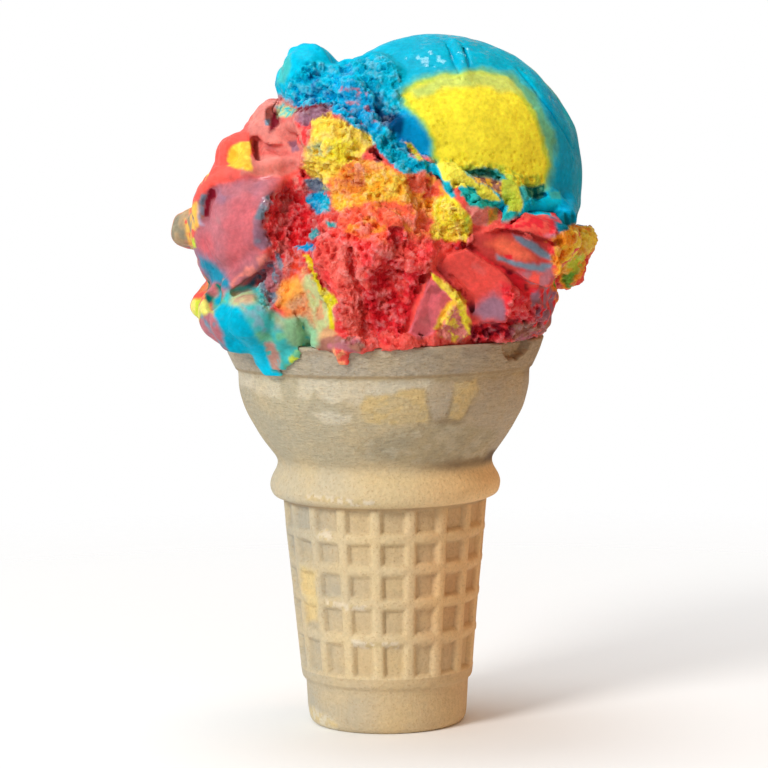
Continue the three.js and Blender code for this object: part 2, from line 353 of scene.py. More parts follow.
LOWER_ADDED = {
    "drip": ([(252, 320), (262, 344), (265, 358), (270, 367)], (5.0, 2.8, 2.3, 2.0), 0.6),
    "drip_side": ([(284, 330), (283, 346), (285, 358), (280, 367)], (4.0, 2.8, 1.9, 1.8), 0.6),
    "drip_middle": ([(272, 338), (274, 352), (275, 365)], (2.6, 2.3, 1.9), 1.2),
    "green_lip": ([(296, 342), (296, 352), (293, 358)], (2.2, 1.8, 1.2), 0.5),
    "pool_lip": ([(222, 322), (230, 341), (240, 345), (254, 341)], (2.4, 2.0, 1.8, 1.8), 0.8),
    "pool_top": ([(228, 292), (244, 288), (260, 284)], (0.9, 1.0, 0.8), 0.1),
    "pool_fold": ([(236, 322), (250, 336), (260, 352)], (1.0, 1.1, 0.9), -0.6),
    "overhang_back": ([(320, 340), (340, 341), (362, 341)], (1.8, 2.0, 1.6), -1.8),
    "overhang": ([(322, 344), (340, 345), (358, 344)], (1.4, 1.7, 1.3), -4.6),
    "hanging_crumb": ([(341, 352), (342, 359)], (1.4, 1.2), -0.3),
    "rim_crumbs_back": ([(362, 341), (380, 341), (400, 341)], (1.8, 1.8, 1.5), -1.8),
    "rim_crumbs": ([(364, 344), (380, 345), (396, 342)], (1.3, 1.4, 1.1), -4.4),
    "rim_fill": ([(404, 340), (440, 339), (478, 337), (506, 334)], (1.5, 1.6, 1.6, 1.5), -1.4),
    "rim_bank": ([(466, 331), (484, 330), (504, 327)], (2.0, 2.2, 2.0), -0.4),
    "cheek_flap": ([(276, 186), (262, 200), (255, 218), (256, 238), (264, 248)], (1.4, 1.6, 1.6, 1.9, 1.6),
        0.5),
    "cheek_fold": ([(232, 286), (247, 275), (266, 256)], (2.0, 2.3, 1.8), 0.6),
    "slit_curl": ([(200, 222), (199, 206), (206, 192), (216, 184)], (1.3, 1.3, 1.3, 1.5), 0.5),
    "cheek_brow": ([(218, 176), (240, 172), (262, 172), (284, 164)], (1.6, 1.4, 1.4, 1.4), 0.7),
    "amber_fold": ([(232, 146), (246, 145), (248, 158), (246, 170)], (1.3, 1.9, 1.8, 1.5), -0.3),
    "knob_curl": ([(228, 160), (228, 147), (237, 140), (250, 139)], (1.3, 1.3, 1.3, 1.2), 0.4),
    "brow_ridge": ([(252, 172), (268, 168), (286, 160), (298, 150)], (0.9, 1.2, 1.2, 0.9), -0.2),
    "rim_curl": ([(200, 212), (204, 195), (214, 184), (236, 176)], (1.1, 1.3, 1.3, 1.2), 0.3),
    "top_lobe": ([(260, 134), (266, 121), (280, 109)], (2.4, 2.5, 2.0), 1.6),
    "mauve_lump": ([(304, 116), (322, 112)], (2.6, 2.6), 1.4),
    "shoulder_fold": ([(272, 132), (286, 121), (304, 124)], (1.8, 2.4, 1.8), 1.2),
    "fringe": ([(434, 276), (446, 286), (458, 296), (464, 306), (465, 318), (471, 330)], (0.9, 1.2, 1.4,
        1.4, 1.2, 1.1), 0.0),
    "fringe_arm": ([(452, 302), (440, 316), (434, 330)], (0.9, 0.9, 0.8), 0.1),
    "yellow_slit_lip": ([(306, 256), (318, 284), (332, 300), (331, 322)], (0.8, 1.1, 1.3, 1.1), 0.2),
    "crag_ridge": ([(334, 236), (337, 266), (342, 300), (346, 330)], (2.0, 2.4, 2.4, 2.2), 1.2),
    "crag_crest": ([(428, 246), (424, 262), (416, 272)], (1.6, 1.8, 1.4), 0.8),
    "pink_chunk": ([(474, 208), (486, 214)], (2.2, 2.4), 1.0),
}

# Flat broken faces: an outline in pixels, and three places of the plane, each a pixel and a depth in mm
LOWER_FACES = {
    "upper plank": ([(470, 242), (482, 234), (502, 229), (530, 231), (555, 242), (560, 270), (548, 288),
        (520, 277), (490, 258)], [(484, 240, 0.2), (552, 250, 0.3), (528, 276, -1.2)]),
    "lower plank": ([(436, 268), (448, 255), (466, 249), (500, 270), (512, 284), (508, 322), (474, 322),
        (466, 302), (450, 285)], [(448, 266, -1.6), (500, 286, -0.8), (478, 314, 0.2)]),
    "pink plank": ([(431, 284), (453, 300), (440, 332), (404, 338)], [(432, 290, 0.3), (448, 304, -0.2),
        (420, 330, 0.4)]),
}

LOWER_CARVED = {
    "crumb_zone": ([(304, 188), (292, 222), (288, 256), (272, 290)], (4.6, 5.2, 5.0, 3.6), -3.0),
    "crag_furrow": ([(351, 248), (355, 275), (361, 300), (369, 336)], (0.6, 1.1, 1.6, 1.3), 0.3),
    "crag_face": ([(394, 288), (388, 320)], (6.5, 6.0), -4.8),
    "crag_pit": ([(396, 230), (398, 242)], (1.5, 1.3), 0.0),
    "lump_gap": ([(338, 168), (352, 160), (366, 160)], (0.7, 0.9, 0.7), 0.4),
    "brown_hole": ([(376, 152), (380, 160)], (1.2, 1.0), 0.4),
    "under_horn": ([(286, 113), (306, 107), (330, 106)], (1.3, 1.3, 1.0), 0.8),
    "plank_gap": ([(462, 245), (484, 261), (508, 275), (532, 291)], (0.9, 1.2, 1.3, 1.1), 0.2),
    "pink_gap": ([(428, 272), (417, 300), (402, 334)], (0.9, 1.2, 1.1), 0.4),
    "fringe_gap": ([(452, 276), (470, 298), (478, 330)], (0.5, 0.8, 0.8), 0.4),
    "slit": ([(213, 191), (207, 203), (206, 216)], (1.0, 1.3, 1.0), -0.1),
    "shoulder_pit": ([(275, 112), (275, 126)], (1.6, 1.3), 0.4),
    "shoulder_crease": ([(258, 140), (280, 149), (303, 152)], (0.5, 0.7, 0.5), 0.1),
    "amber_crease": ([(256, 141), (257, 158)], (1.0, 0.8), -0.1),
    "shoulder_lines": ([(262, 146), (282, 153), (300, 156)], (0.4, 0.5, 0.4), 0.0),
    "teal_pit": ([(213, 288), (212, 300)], (2.0, 2.2), 0.0),
    "cheek_foot": ([(236, 292), (256, 282), (270, 266)], (0.9, 1.3, 1.0), 0.4),
    "slit_shadow": ([(313, 262), (326, 288)], (0.6, 0.6), 0.2),
    "knob_gap": ([(556, 240), (560, 262)], (0.9, 1.0), 0.3),
    "fold_shadow": ([(238, 330), (249, 343), (258, 354)], (0.5, 0.8, 0.6), 0.1),
    "streak_pit": ([(507, 256), (510, 259)], (0.7, 0.6), 0.0),
}

UPPER_ADDED = {
    "cluster_top": ([(374, 64), (388, 76)], (2.4, 2.8), 1.2),
    "cluster_low": ([(390, 86), (394, 106)], (2.6, 2.4), 1.0),
    "cluster_left": ([(354, 88), (368, 98)], (2.6, 2.4), 1.4),
    "middle": ([(346, 94), (354, 110), (368, 126)], (2.6, 3.0, 2.8), 2.2),
    "trail": ([(380, 140), (392, 150), (404, 160), (430, 168)], (2.2, 2.8, 1.8, 1.2), 0.4),
    "leaf": ([(408, 144), (420, 158)], (0.8, 0.8), 0.2),
    "flap": ([(442, 170), (456, 175), (468, 182), (484, 192), (498, 201)], (1.6, 1.9, 1.5, 1.3, 0.7), -1.3),
    "flap_tip": ([(446, 178), (452, 194)], (1.1, 0.6), -1.1),
    "flap_fringe": ([(462, 188), (470, 197), (484, 204)], (0.9, 1.1, 0.7), -0.9),
    "flap_two": ([(508, 181), (516, 190), (523, 202), (514, 212), (508, 220), (504, 230)], (1.0, 1.8, 1.8,
        1.6, 1.1, 0.4), -1.2),
    "curl": ([(530, 207), (542, 206), (558, 205)], (0.9, 1.5, 1.6), -1.1),
    "curl_end": ([(556, 203), (556, 195), (549, 192)], (1.4, 0.9, 0.6), -0.5),
    "horn_tip": ([(280, 108), (292, 110)], (1.5, 1.7), 1.0),
    "lobe": ([(564, 206), (565, 224)], (2.8, 2.2), 2.0),
    "wedge_flap": ([(454, 42), (463, 62), (465, 78)], (0.5, 0.9, 0.9), 0.55),
    "cluster_tip": ([(384, 60), (398, 74), (400, 92)], (1.2, 1.2, 1.0), 0.2),
}

UPPER_CARVED = {
    "wedge_left": ([(446, 42), (456, 66), (461, 80)], (0.15, 0.3, 0.15), 0.05),
    "wedge_right": ([(460, 40), (468, 64), (466, 80)], (0.15, 0.3, 0.15), 0.05),
    "smooth_hollow": ([(404, 130), (418, 144)], (6.6, 6.2), -5.0),
    "torn_hollow": ([(468, 174), (484, 176), (502, 182)], (0.6, 1.5, 1.2), 0.2),
    "under_curl": ([(530, 198), (544, 196)], (0.7, 0.8), 0.2),
    "torn_end": ([(524, 187), (538, 192)], (0.7, 0.6), 0.1),
    "valley": ([(346, 60), (348, 74)], (1.6, 1.2), -0.6),
    "horn_crevice": ([(310, 98), (322, 92), (334, 100)], (0.9, 1.3, 0.9), 0.1),
    "horn_pit": ([(318, 74), (330, 76)], (0.7, 0.7), 0.1),
    "scoop_line": ([(518, 69), (540, 98), (556, 122), (573, 148)], (0.2, 0.3, 0.3, 0.2), -0.05),
    "cluster_gap": ([(372, 84), (378, 100), (388, 118)], (0.7, 1.0, 1.2), 0.2),
}

# Rough places of the photographed side: how rough, from 0 to 1, and the outline in pixels
ROUGH_PLACES = {
    "red crag": (1.0, [(262, 200), (284, 186), (302, 172), (330, 166), (372, 162), (428, 176), (446, 196),
        (466, 212), (473, 245), (440, 252), (425, 275), (410, 310), (398, 350), (342, 345), (332, 320),
        (316, 284), (300, 270), (282, 300), (262, 312), (256, 272), (272, 250), (262, 226)]),
    "yellow lump": (0.9, [(303, 118), (334, 108), (378, 132), (384, 165), (334, 192), (300, 168)]),
    "blue middle": (0.9, [(278, 100), (286, 82), (308, 62), (345, 66), (380, 52), (402, 74), (405, 112),
        (390, 126), (430, 160), (438, 178), (400, 178), (372, 140), (330, 108), (296, 114)]),
    "right crumbs": (1.0, [(498, 284), (512, 286), (528, 300), (548, 306), (548, 340), (520, 346),
        (470, 342), (476, 324), (506, 322), (508, 300)]),
    "torn flap": (0.5, [(440, 158), (470, 160), (505, 168), (545, 178), (540, 198), (512, 236), (470, 226),
        (448, 186)]),
    "right knob": (0.8, [(550, 236), (556, 228), (604, 222), (604, 268), (566, 292), (552, 276)]),
    "fringe": (0.7, [(432, 272), (450, 282), (468, 298), (468, 316), (480, 336), (440, 340), (440, 318),
        (454, 304)]),
    "shoulder crumbs": (0.9, [(297, 118), (310, 122), (308, 150), (298, 146)]),
    "hanging crumb": (0.7, [(330, 350), (354, 350), (352, 368), (336, 368)]),
    "horn foot": (0.9, [(280, 92), (300, 84), (330, 78), (350, 70), (352, 100), (330, 112), (300, 118),
        (280, 110)]),
    "trail": (0.8, [(376, 136), (402, 146), (430, 172), (428, 186), (402, 186), (382, 166)]),
    "rim crumbs": (0.8, [(358, 336), (402, 334), (440, 336), (506, 332), (508, 344), (402, 352),
        (362, 356)]),
    "grey crumbs": (0.8, [(258, 284), (278, 284), (280, 312), (260, 312)]),
    "plank edge": (0.6, [(546, 238), (560, 238), (566, 264), (562, 292), (550, 298), (552, 268)]),
    "tan crumbs": (0.7, [(284, 296), (304, 292), (320, 306), (316, 332), (296, 330)]),
}


def outline_distance(column, row, outline):
    """Distance in pixels to a closed outline, negative inside it."""
    nearest = np.full(len(column), 1e9)
    inside = np.zeros(len(column), bool)
    for i, (x0, y0) in enumerate(outline):
        x1, y1 = outline[i - 1]
        run_x, run_y = x1 - x0, y1 - y0
        length = max(run_x ** 2 + run_y ** 2, 1e-9)
        share = np.clip(((column - x0) * run_x + (row - y0) * run_y) / length, 0, 1)
        gap = (column - x0 - share * run_x) ** 2 + (row - y0 - share * run_y) ** 2
        nearest = np.minimum(nearest, gap)
        if y0 != y1:
            crosses = (row < y0) != (row < y1)
            inside ^= crosses & (column < run_x * (row - y0) / run_y + x0)
    return np.where(inside, -1, 1) * np.sqrt(nearest)


def near_outline(column, row, outline, margin):
    """Whether each pixel lies in the box of an outline, or within a margin of it."""
    low = np.min(outline, 0) - margin
    high = np.max(outline, 0) + margin
    return (column > low[0]) & (column < high[0]) & (row > low[1]) & (row < high[1])


def front_share(points):
    """1 on the photographed side and a little round its edges, 0 behind, with an uneven border."""
    return soft_step(4.0 * wavy(points, 9.0, 6) - points[:, 1], -10, -3)


def facing_of(points, lumps):
    """How squarely the lumps' outer sides face the camera, from -1 to 1, and 1 between those sides."""
    step = np.array([0.0, 1.0, 0.0])
    facing = (mass_distance(points - step, lumps) - mass_distance(points + step, lumps)) / 2
    return 1 - soft_step(np.abs(points[:, 0]), 24, 30) * (1 - facing)


def roughness_of(points, smoothness_of):
    """1 where the ice cream is torn and crumbly, 0 where the scoop left it smooth."""
    column, row = to_picture(points)
    column = column + 3.0 * wavy(points, 3.0, 1)
    row = row + 3.0 * wavy(points, 3.0, 2)
    in_front = front_share(points)
    rough = np.zeros(len(points))
    for share, outline in ROUGH_PLACES.values():
        close = near_outline(column, row, outline, 4) & (in_front > 0)
        edge = outline_distance(column[close], row[close], outline)
        rough[close] = np.maximum(rough[close], share * soft_step(-edge, -3, 3))
    behind = soft_step(wavy(points, 14.0, 3), -0.25, 0.15) * (1 - smoothness_of(points))
    return in_front * rough + (1 - in_front) * behind


def torn(points, distance, smoothness_of):
    """Adds clumps to the rough places and shallow folds to the smooth ones."""
    rough = roughness_of(points, smoothness_of)
    drift = points + 1.0 * np.stack([wavy(points, 2.6, layer) for layer in (0, 1, 2)], 1)
    clump = 0.55 - crumbs_near(drift, CLUMP_SIZE, 0)[0]
    swell = wavy(points, 6.5, 4) + 0.7 * wavy(points, 3.1, 5)
    folds = FOLD_HEIGHT * layered(points, FOLD_SIZE, 2, 5)
    return distance - rough * (CLUMP_HEIGHT * clump + SWELL_HEIGHT * swell) - (1 - rough) * folds


def fine_relief(points, rough):
    """Height in mm of the fine pits and crumbs above the surface, and the middles of the crumbs."""
    drift = points + 0.55 * np.stack([wavy(points, 1.1, layer) for layer in (3, 4, 5)], 1)
    pits, middles = crumbs_near(drift, PIT_SIZE, 1)
    crumbs, _ = crumbs_near(drift, CRUMB_SIZE, 2)
    uneven = 0.3 * wavy(points, 1.5, 6) + 0.25 * wavy(points, 0.75, 7)
    holes = soft_step(0.5 - pits, 0.0, 0.3) * soft_step(wavy(points, 3.2, 3), -0.6, 0.2)
    torn_skin = CRUMB_HEIGHT * (0.5 - crumbs) - PIT_DEPTH * holes + 0.15 + uneven
    bubbles = soft_step(-crumbs_near(points, BUBBLE_SIZE, 3)[0], -0.2, -0.08)
    smooth = 0.05 * wavy(points, 1.8, 7) - BUBBLE_DEPTH * bubbles
    return rough * torn_skin + (1 - rough) * smooth, middles - drift + points


def nowhere_smooth(points):
    return np.zeros(len(points))


def ball_smoothness(points):
    """1 on the scooped round skin of the upper ball."""
    return soft_step(points[:, 0], -4, 1) * soft_step(points[:, 2], 104, 108)


def bowl_radius(height):
    return np.interp(height, BOWL_HEIGHTS, BOWL_RADII)


def upper_distance(points):
    distance = mass_distance(points, UPPER_LUMPS)
    for bars in UPPER_ADDED_BARS:
        distance = blended(distance, rope_distance(points, bars), 1.2)
    for bars in UPPER_CARVED_BARS:
        distance = carved(distance, rope_distance(points, bars))
    return torn(points, distance, ball_smoothness)


def lower_distance(points):
    distance = mass_distance(points, LOWER_LUMPS)
    for bars in LOWER_ADDED_BARS:
        distance = blended(distance, rope_distance(points, bars), 1.4)
    distance = flattened(points, distance, LOWER_PLANES)
    for bars in LOWER_CARVED_BARS:
        distance = carved(distance, rope_distance(points, bars))
    distance = torn(points, distance, nowhere_smooth)
    radius = np.hypot(points[:, 0], points[:, 1])
    outside = bowl_radius(points[:, 2])
    fill = np.maximum(radius - outside + WALL, points[:, 2] - RIM_HEIGHT)
    distance = np.minimum(distance, fill)
    wall = np.maximum(np.maximum(radius - outside, outside - WALL - radius), points[:, 2] - RIM_HEIGHT)
    distance = np.maximum(distance, WALL_CLEARANCE - wall)
    distance = np.maximum(distance, HIDDEN_HEIGHT - points[:, 2] - 3 * soft_step(radius, 29, 31))
    near = np.abs(mass_distance(points, UPPER_LUMPS)) < 4 * FARTHEST_RELIEF
    apart = np.where(mass_distance(points, UPPER_LUMPS) < 0, -9.0, 9.0)
    apart[near] = upper_distance(points[near])
    return np.maximum(distance, SEAM_CLEARANCE - apart)


def flattened(points, distance, faces):
    """Cuts and fills the ice cream so that it ends in flat faces inside their outlines."""
    column, row = to_picture(points)
    for outline, places in faces:
        close = near_outline(column, row, outline, 6) & (points[:, 1] < 0)
        if not close.any():
            continue
        inside = outline_distance(column[close], row[close], outline) / PIXELS_PER_MM
        ahead = plane_distance(points[close], places)
        filled = np.maximum(np.maximum(inside, ahead), -ahead - FACE_DEPTH)
        cut = np.maximum(np.maximum(inside, -ahead), ahead - FACE_DEPTH)
        distance[close] = carved(blended(distance[close], filled, 0.5), cut, 0.5)
    return distance


def bars_of(forms):
    return [rope(*form) for form in forms.values()]


LOWER_PLANES = [(outline, [spot(*place) for place in places]) for outline, places in LOWER_FACES.values()]
UPPER_ADDED_BARS = bars_of(UPPER_ADDED)
UPPER_CARVED_BARS = bars_of(UPPER_CARVED)
LOWER_ADDED_BARS = bars_of(LOWER_ADDED)
LOWER_CARVED_BARS = bars_of(LOWER_CARVED)


# Surfaces

def sampled(distance_of, guess_of, low, high, step):
    """The distance on a grid, worked out in full only in the blocks that the surface may cross."""
    size = step * BLOCK
    shape = [int(math.ceil((high[i] - low[i]) / size)) for i in range(3)]
    axes = [low[i] + size * (np.arange(shape[i]) + 0.5) - step / 2 for i in range(3)]
    middles = np.stack(np.meshgrid(*axes, indexing="ij"), -1).reshape(-1, 3)
    guess = guess_of(middles)
    near = np.abs(guess) < FARTHEST_RELIEF + size
    guess[near] = in_parallel(distance_of, middles[near])
    near[near] = np.abs(guess[near]) < 1.6 * size
    guess = guess.reshape(shape)
    near = near.reshape(shape)
    for axis in range(3):
        guess = np.repeat(guess, BLOCK, axis)
        near = np.repeat(near, BLOCK, axis)
    grid = np.where(guess < 0, -1.0, 1.0).astype(np.float32)
    grid[near] = in_parallel(distance_of, np.stack(np.nonzero(near), 1) * step + np.array(low))
    return grid


def surface_net(grid, low, step):
    """Points and four-sided faces of the surface where the grid changes sign."""
    inside = grid < 0
    cells = tuple(size - 1 for size in grid.shape)

    def corner(array, offset):
        return array[tuple(slice(offset[i], offset[i] + cells[i]) for i in range(3))]

    count = sum(corner(inside, offset).astype(np.int8) for offset in CELL_CORNERS)
    active = np.nonzero((count > 0) & (count < 8))
    index = np.full(cells, -1, np.int32)
    index[active] = np.arange(len(active[0]))
    total = np.zeros((len(active[0]), 3))
    crossings = np.zeros(len(active[0]))
    for axis in range(3):
        for offset in CELL_CORNERS:
            if offset[axis]:
                continue
            far_offset = list(offset)
            far_offset[axis] = 1
            a = grid[tuple(active[i] + offset[i] for i in range(3))]
            b = grid[tuple(active[i] + far_offset[i] for i in range(3))]
            crosses = (a < 0) != (b < 0)
            share = np.where(crosses, a / np.where(crosses, a - b, 1), 0)
            place = np.array(offset, float)[None, :].repeat(len(a), 0)
            place[:, axis] = share
            total += place * crosses[:, None]
            crossings += crosses
    points = np.stack(active, 1) + total / crossings[:, None]
    faces = []
    for axis in range(3):
        other, third = (axis + 1) % 3, (axis + 2) % 3
        here = [slice(1, size - 1) for size in grid.shape]
        here[axis] = slice(0, grid.shape[axis] - 1)
        there = list(here)
        there[axis] = slice(1, grid.shape[axis])
        change = inside[tuple(here)] != inside[tuple(there)]
        start = list(np.nonzero(change))
        start[other] += 1
        start[third] += 1
        solid_first = inside[tuple(start)]
        quad = []
        for back_other, back_third in ((1, 1), (0, 1), (0, 0), (1, 0)):
            cell = list(start)
            cell[other] = start[other] - back_other
            cell[third] = start[third] - back_third
            quad.append(index[tuple(cell)])
        quad = np.stack(quad, 1)
        quad[~solid_first] = quad[~solid_first][:, ::-1]
        faces.append(quad)
    return points * step + np.array(low), np.concatenate(faces)


def normals_of(points, faces):
    """Unit normals of the points of a surface."""
    across = np.cross(points[faces[:, 2]] - points[faces[:, 0]], points[faces[:, 3]] - points[faces[:, 1]])
    total = np.stack([
        np.bincount(faces.ravel(), np.repeat(across[:, axis], 4), len(points)) for axis in range(3)
    ], 1)
    return total / np.maximum(np.linalg.norm(total, axis=1), 1e-12)[:, None]


def make_object(name, points, normals, faces, attributes, material):
    """An object from points in mm and four-sided faces, with its colours and masks on the points."""
    mesh = bpy.data.meshes.new(name)
    mesh.vertices.add(len(points))
    mesh.vertices.foreach_set("co", (points * MM).astype(np.float32).ravel())
    mesh.loops.add(faces.size)
    mesh.loops.foreach_set("vertex_index", faces.astype(np.int32).ravel())
    mesh.polygons.add(len(faces))
    mesh.polygons.foreach_set("loop_start", np.arange(0, faces.size, 4, dtype=np.int32))
    mesh.update(calc_edges=True)
    mesh.shade_smooth()
    mesh.normals_split_custom_set_from_vertices(normals.astype(np.float32))
    for key, value in attributes.items():
        if value.ndim == 2:
            layer = mesh.attributes.new(key, "FLOAT_COLOR", "POINT")
            rgba = np.ones((len(points), 4), np.float32)
            rgba[:, :3] = value
            layer.data.foreach_set("color", rgba.ravel())
        else:
            layer = mesh.attributes.new(key, "FLOAT", "POINT")
            layer.data.foreach_set("value", value.astype(np.float32))
    mesh.materials.append(material)
    made = bpy.data.objects.new(name, mesh)
    bpy.context.scene.collection.objects.link(made)
    return made


def pieces_of(name, points, faces, attributes, material):
    """One object, or several cut apart along Y where the surface has too many faces for one."""
    middle = points[faces].mean(1)[:, 1]
    normals = normals_of(points, faces)
    parts = int(math.ceil(len(faces) / MOST_FACES))
    order = np.argsort(middle, kind="stable")
    made = []
    for part, chosen in enumerate(np.array_split(order, parts)):
        used, local = np.unique(faces[chosen], return_inverse=True)
        values = {key: value[used] for key, value in attributes.items()}
        label = name if parts == 1 else f"{name}_{part + 1}"
        made.append(make_object(label, points[used], normals[used], local.reshape(-1, 4), values, material))
    return made


# Colours of the ice cream

def linear(red, green, blue):
    """A colour given from 0 to 255 as the eye sees it, in the scene's linear light."""
    parts = []
    for value in (red, green, blue):
        parts.append(((value / 255 + 0.055) / 1.055) ** 2.4 if value > 10 else value / 3295)
    return np.array(parts)


CYAN = linear(0, 190, 226)
PURE_CYAN = linear(0, 174, 206)
DEEP_BLUE = linear(0, 134, 192)
# Dark blue painted as the shadow cast by the crumb cluster
SHADOW_BLUE = linear(0, 70, 118)
TEAL = linear(0, 172, 222)
DARK_TEAL = linear(0, 118, 106)
AQUA = linear(66, 190, 192)
SEA_GREEN = linear(110, 190, 150)
SAGE = linear(188, 200, 146)
GREEN_YELLOW = linear(196, 214, 70)
LEMON = linear(252, 234, 62)
YELLOW = linear(255, 222, 84)
AMBER = linear(255, 194, 62)
ORANGE = linear(254, 164, 66)
RUST = linear(234, 140, 84)
TAN = linear(222, 164, 120)
CORAL = linear(242, 94, 84)
WARM_CORAL = linear(254, 112, 80)
SALMON = linear(232, 138, 128)
PINK = linear(208, 100, 108)
RED = linear(244, 70, 72)
DEEP_RED = linear(230, 48, 60)
# Dark wine red, painted as shade in holes, gaps, slits and under the horn
SHADE_WINE = linear(128, 20, 40)
MAUVE = linear(186, 114, 124)
GREY_MAUVE = linear(160, 114, 134)
SLATE = linear(122, 142, 160)
BROWN = linear(166, 112, 96)
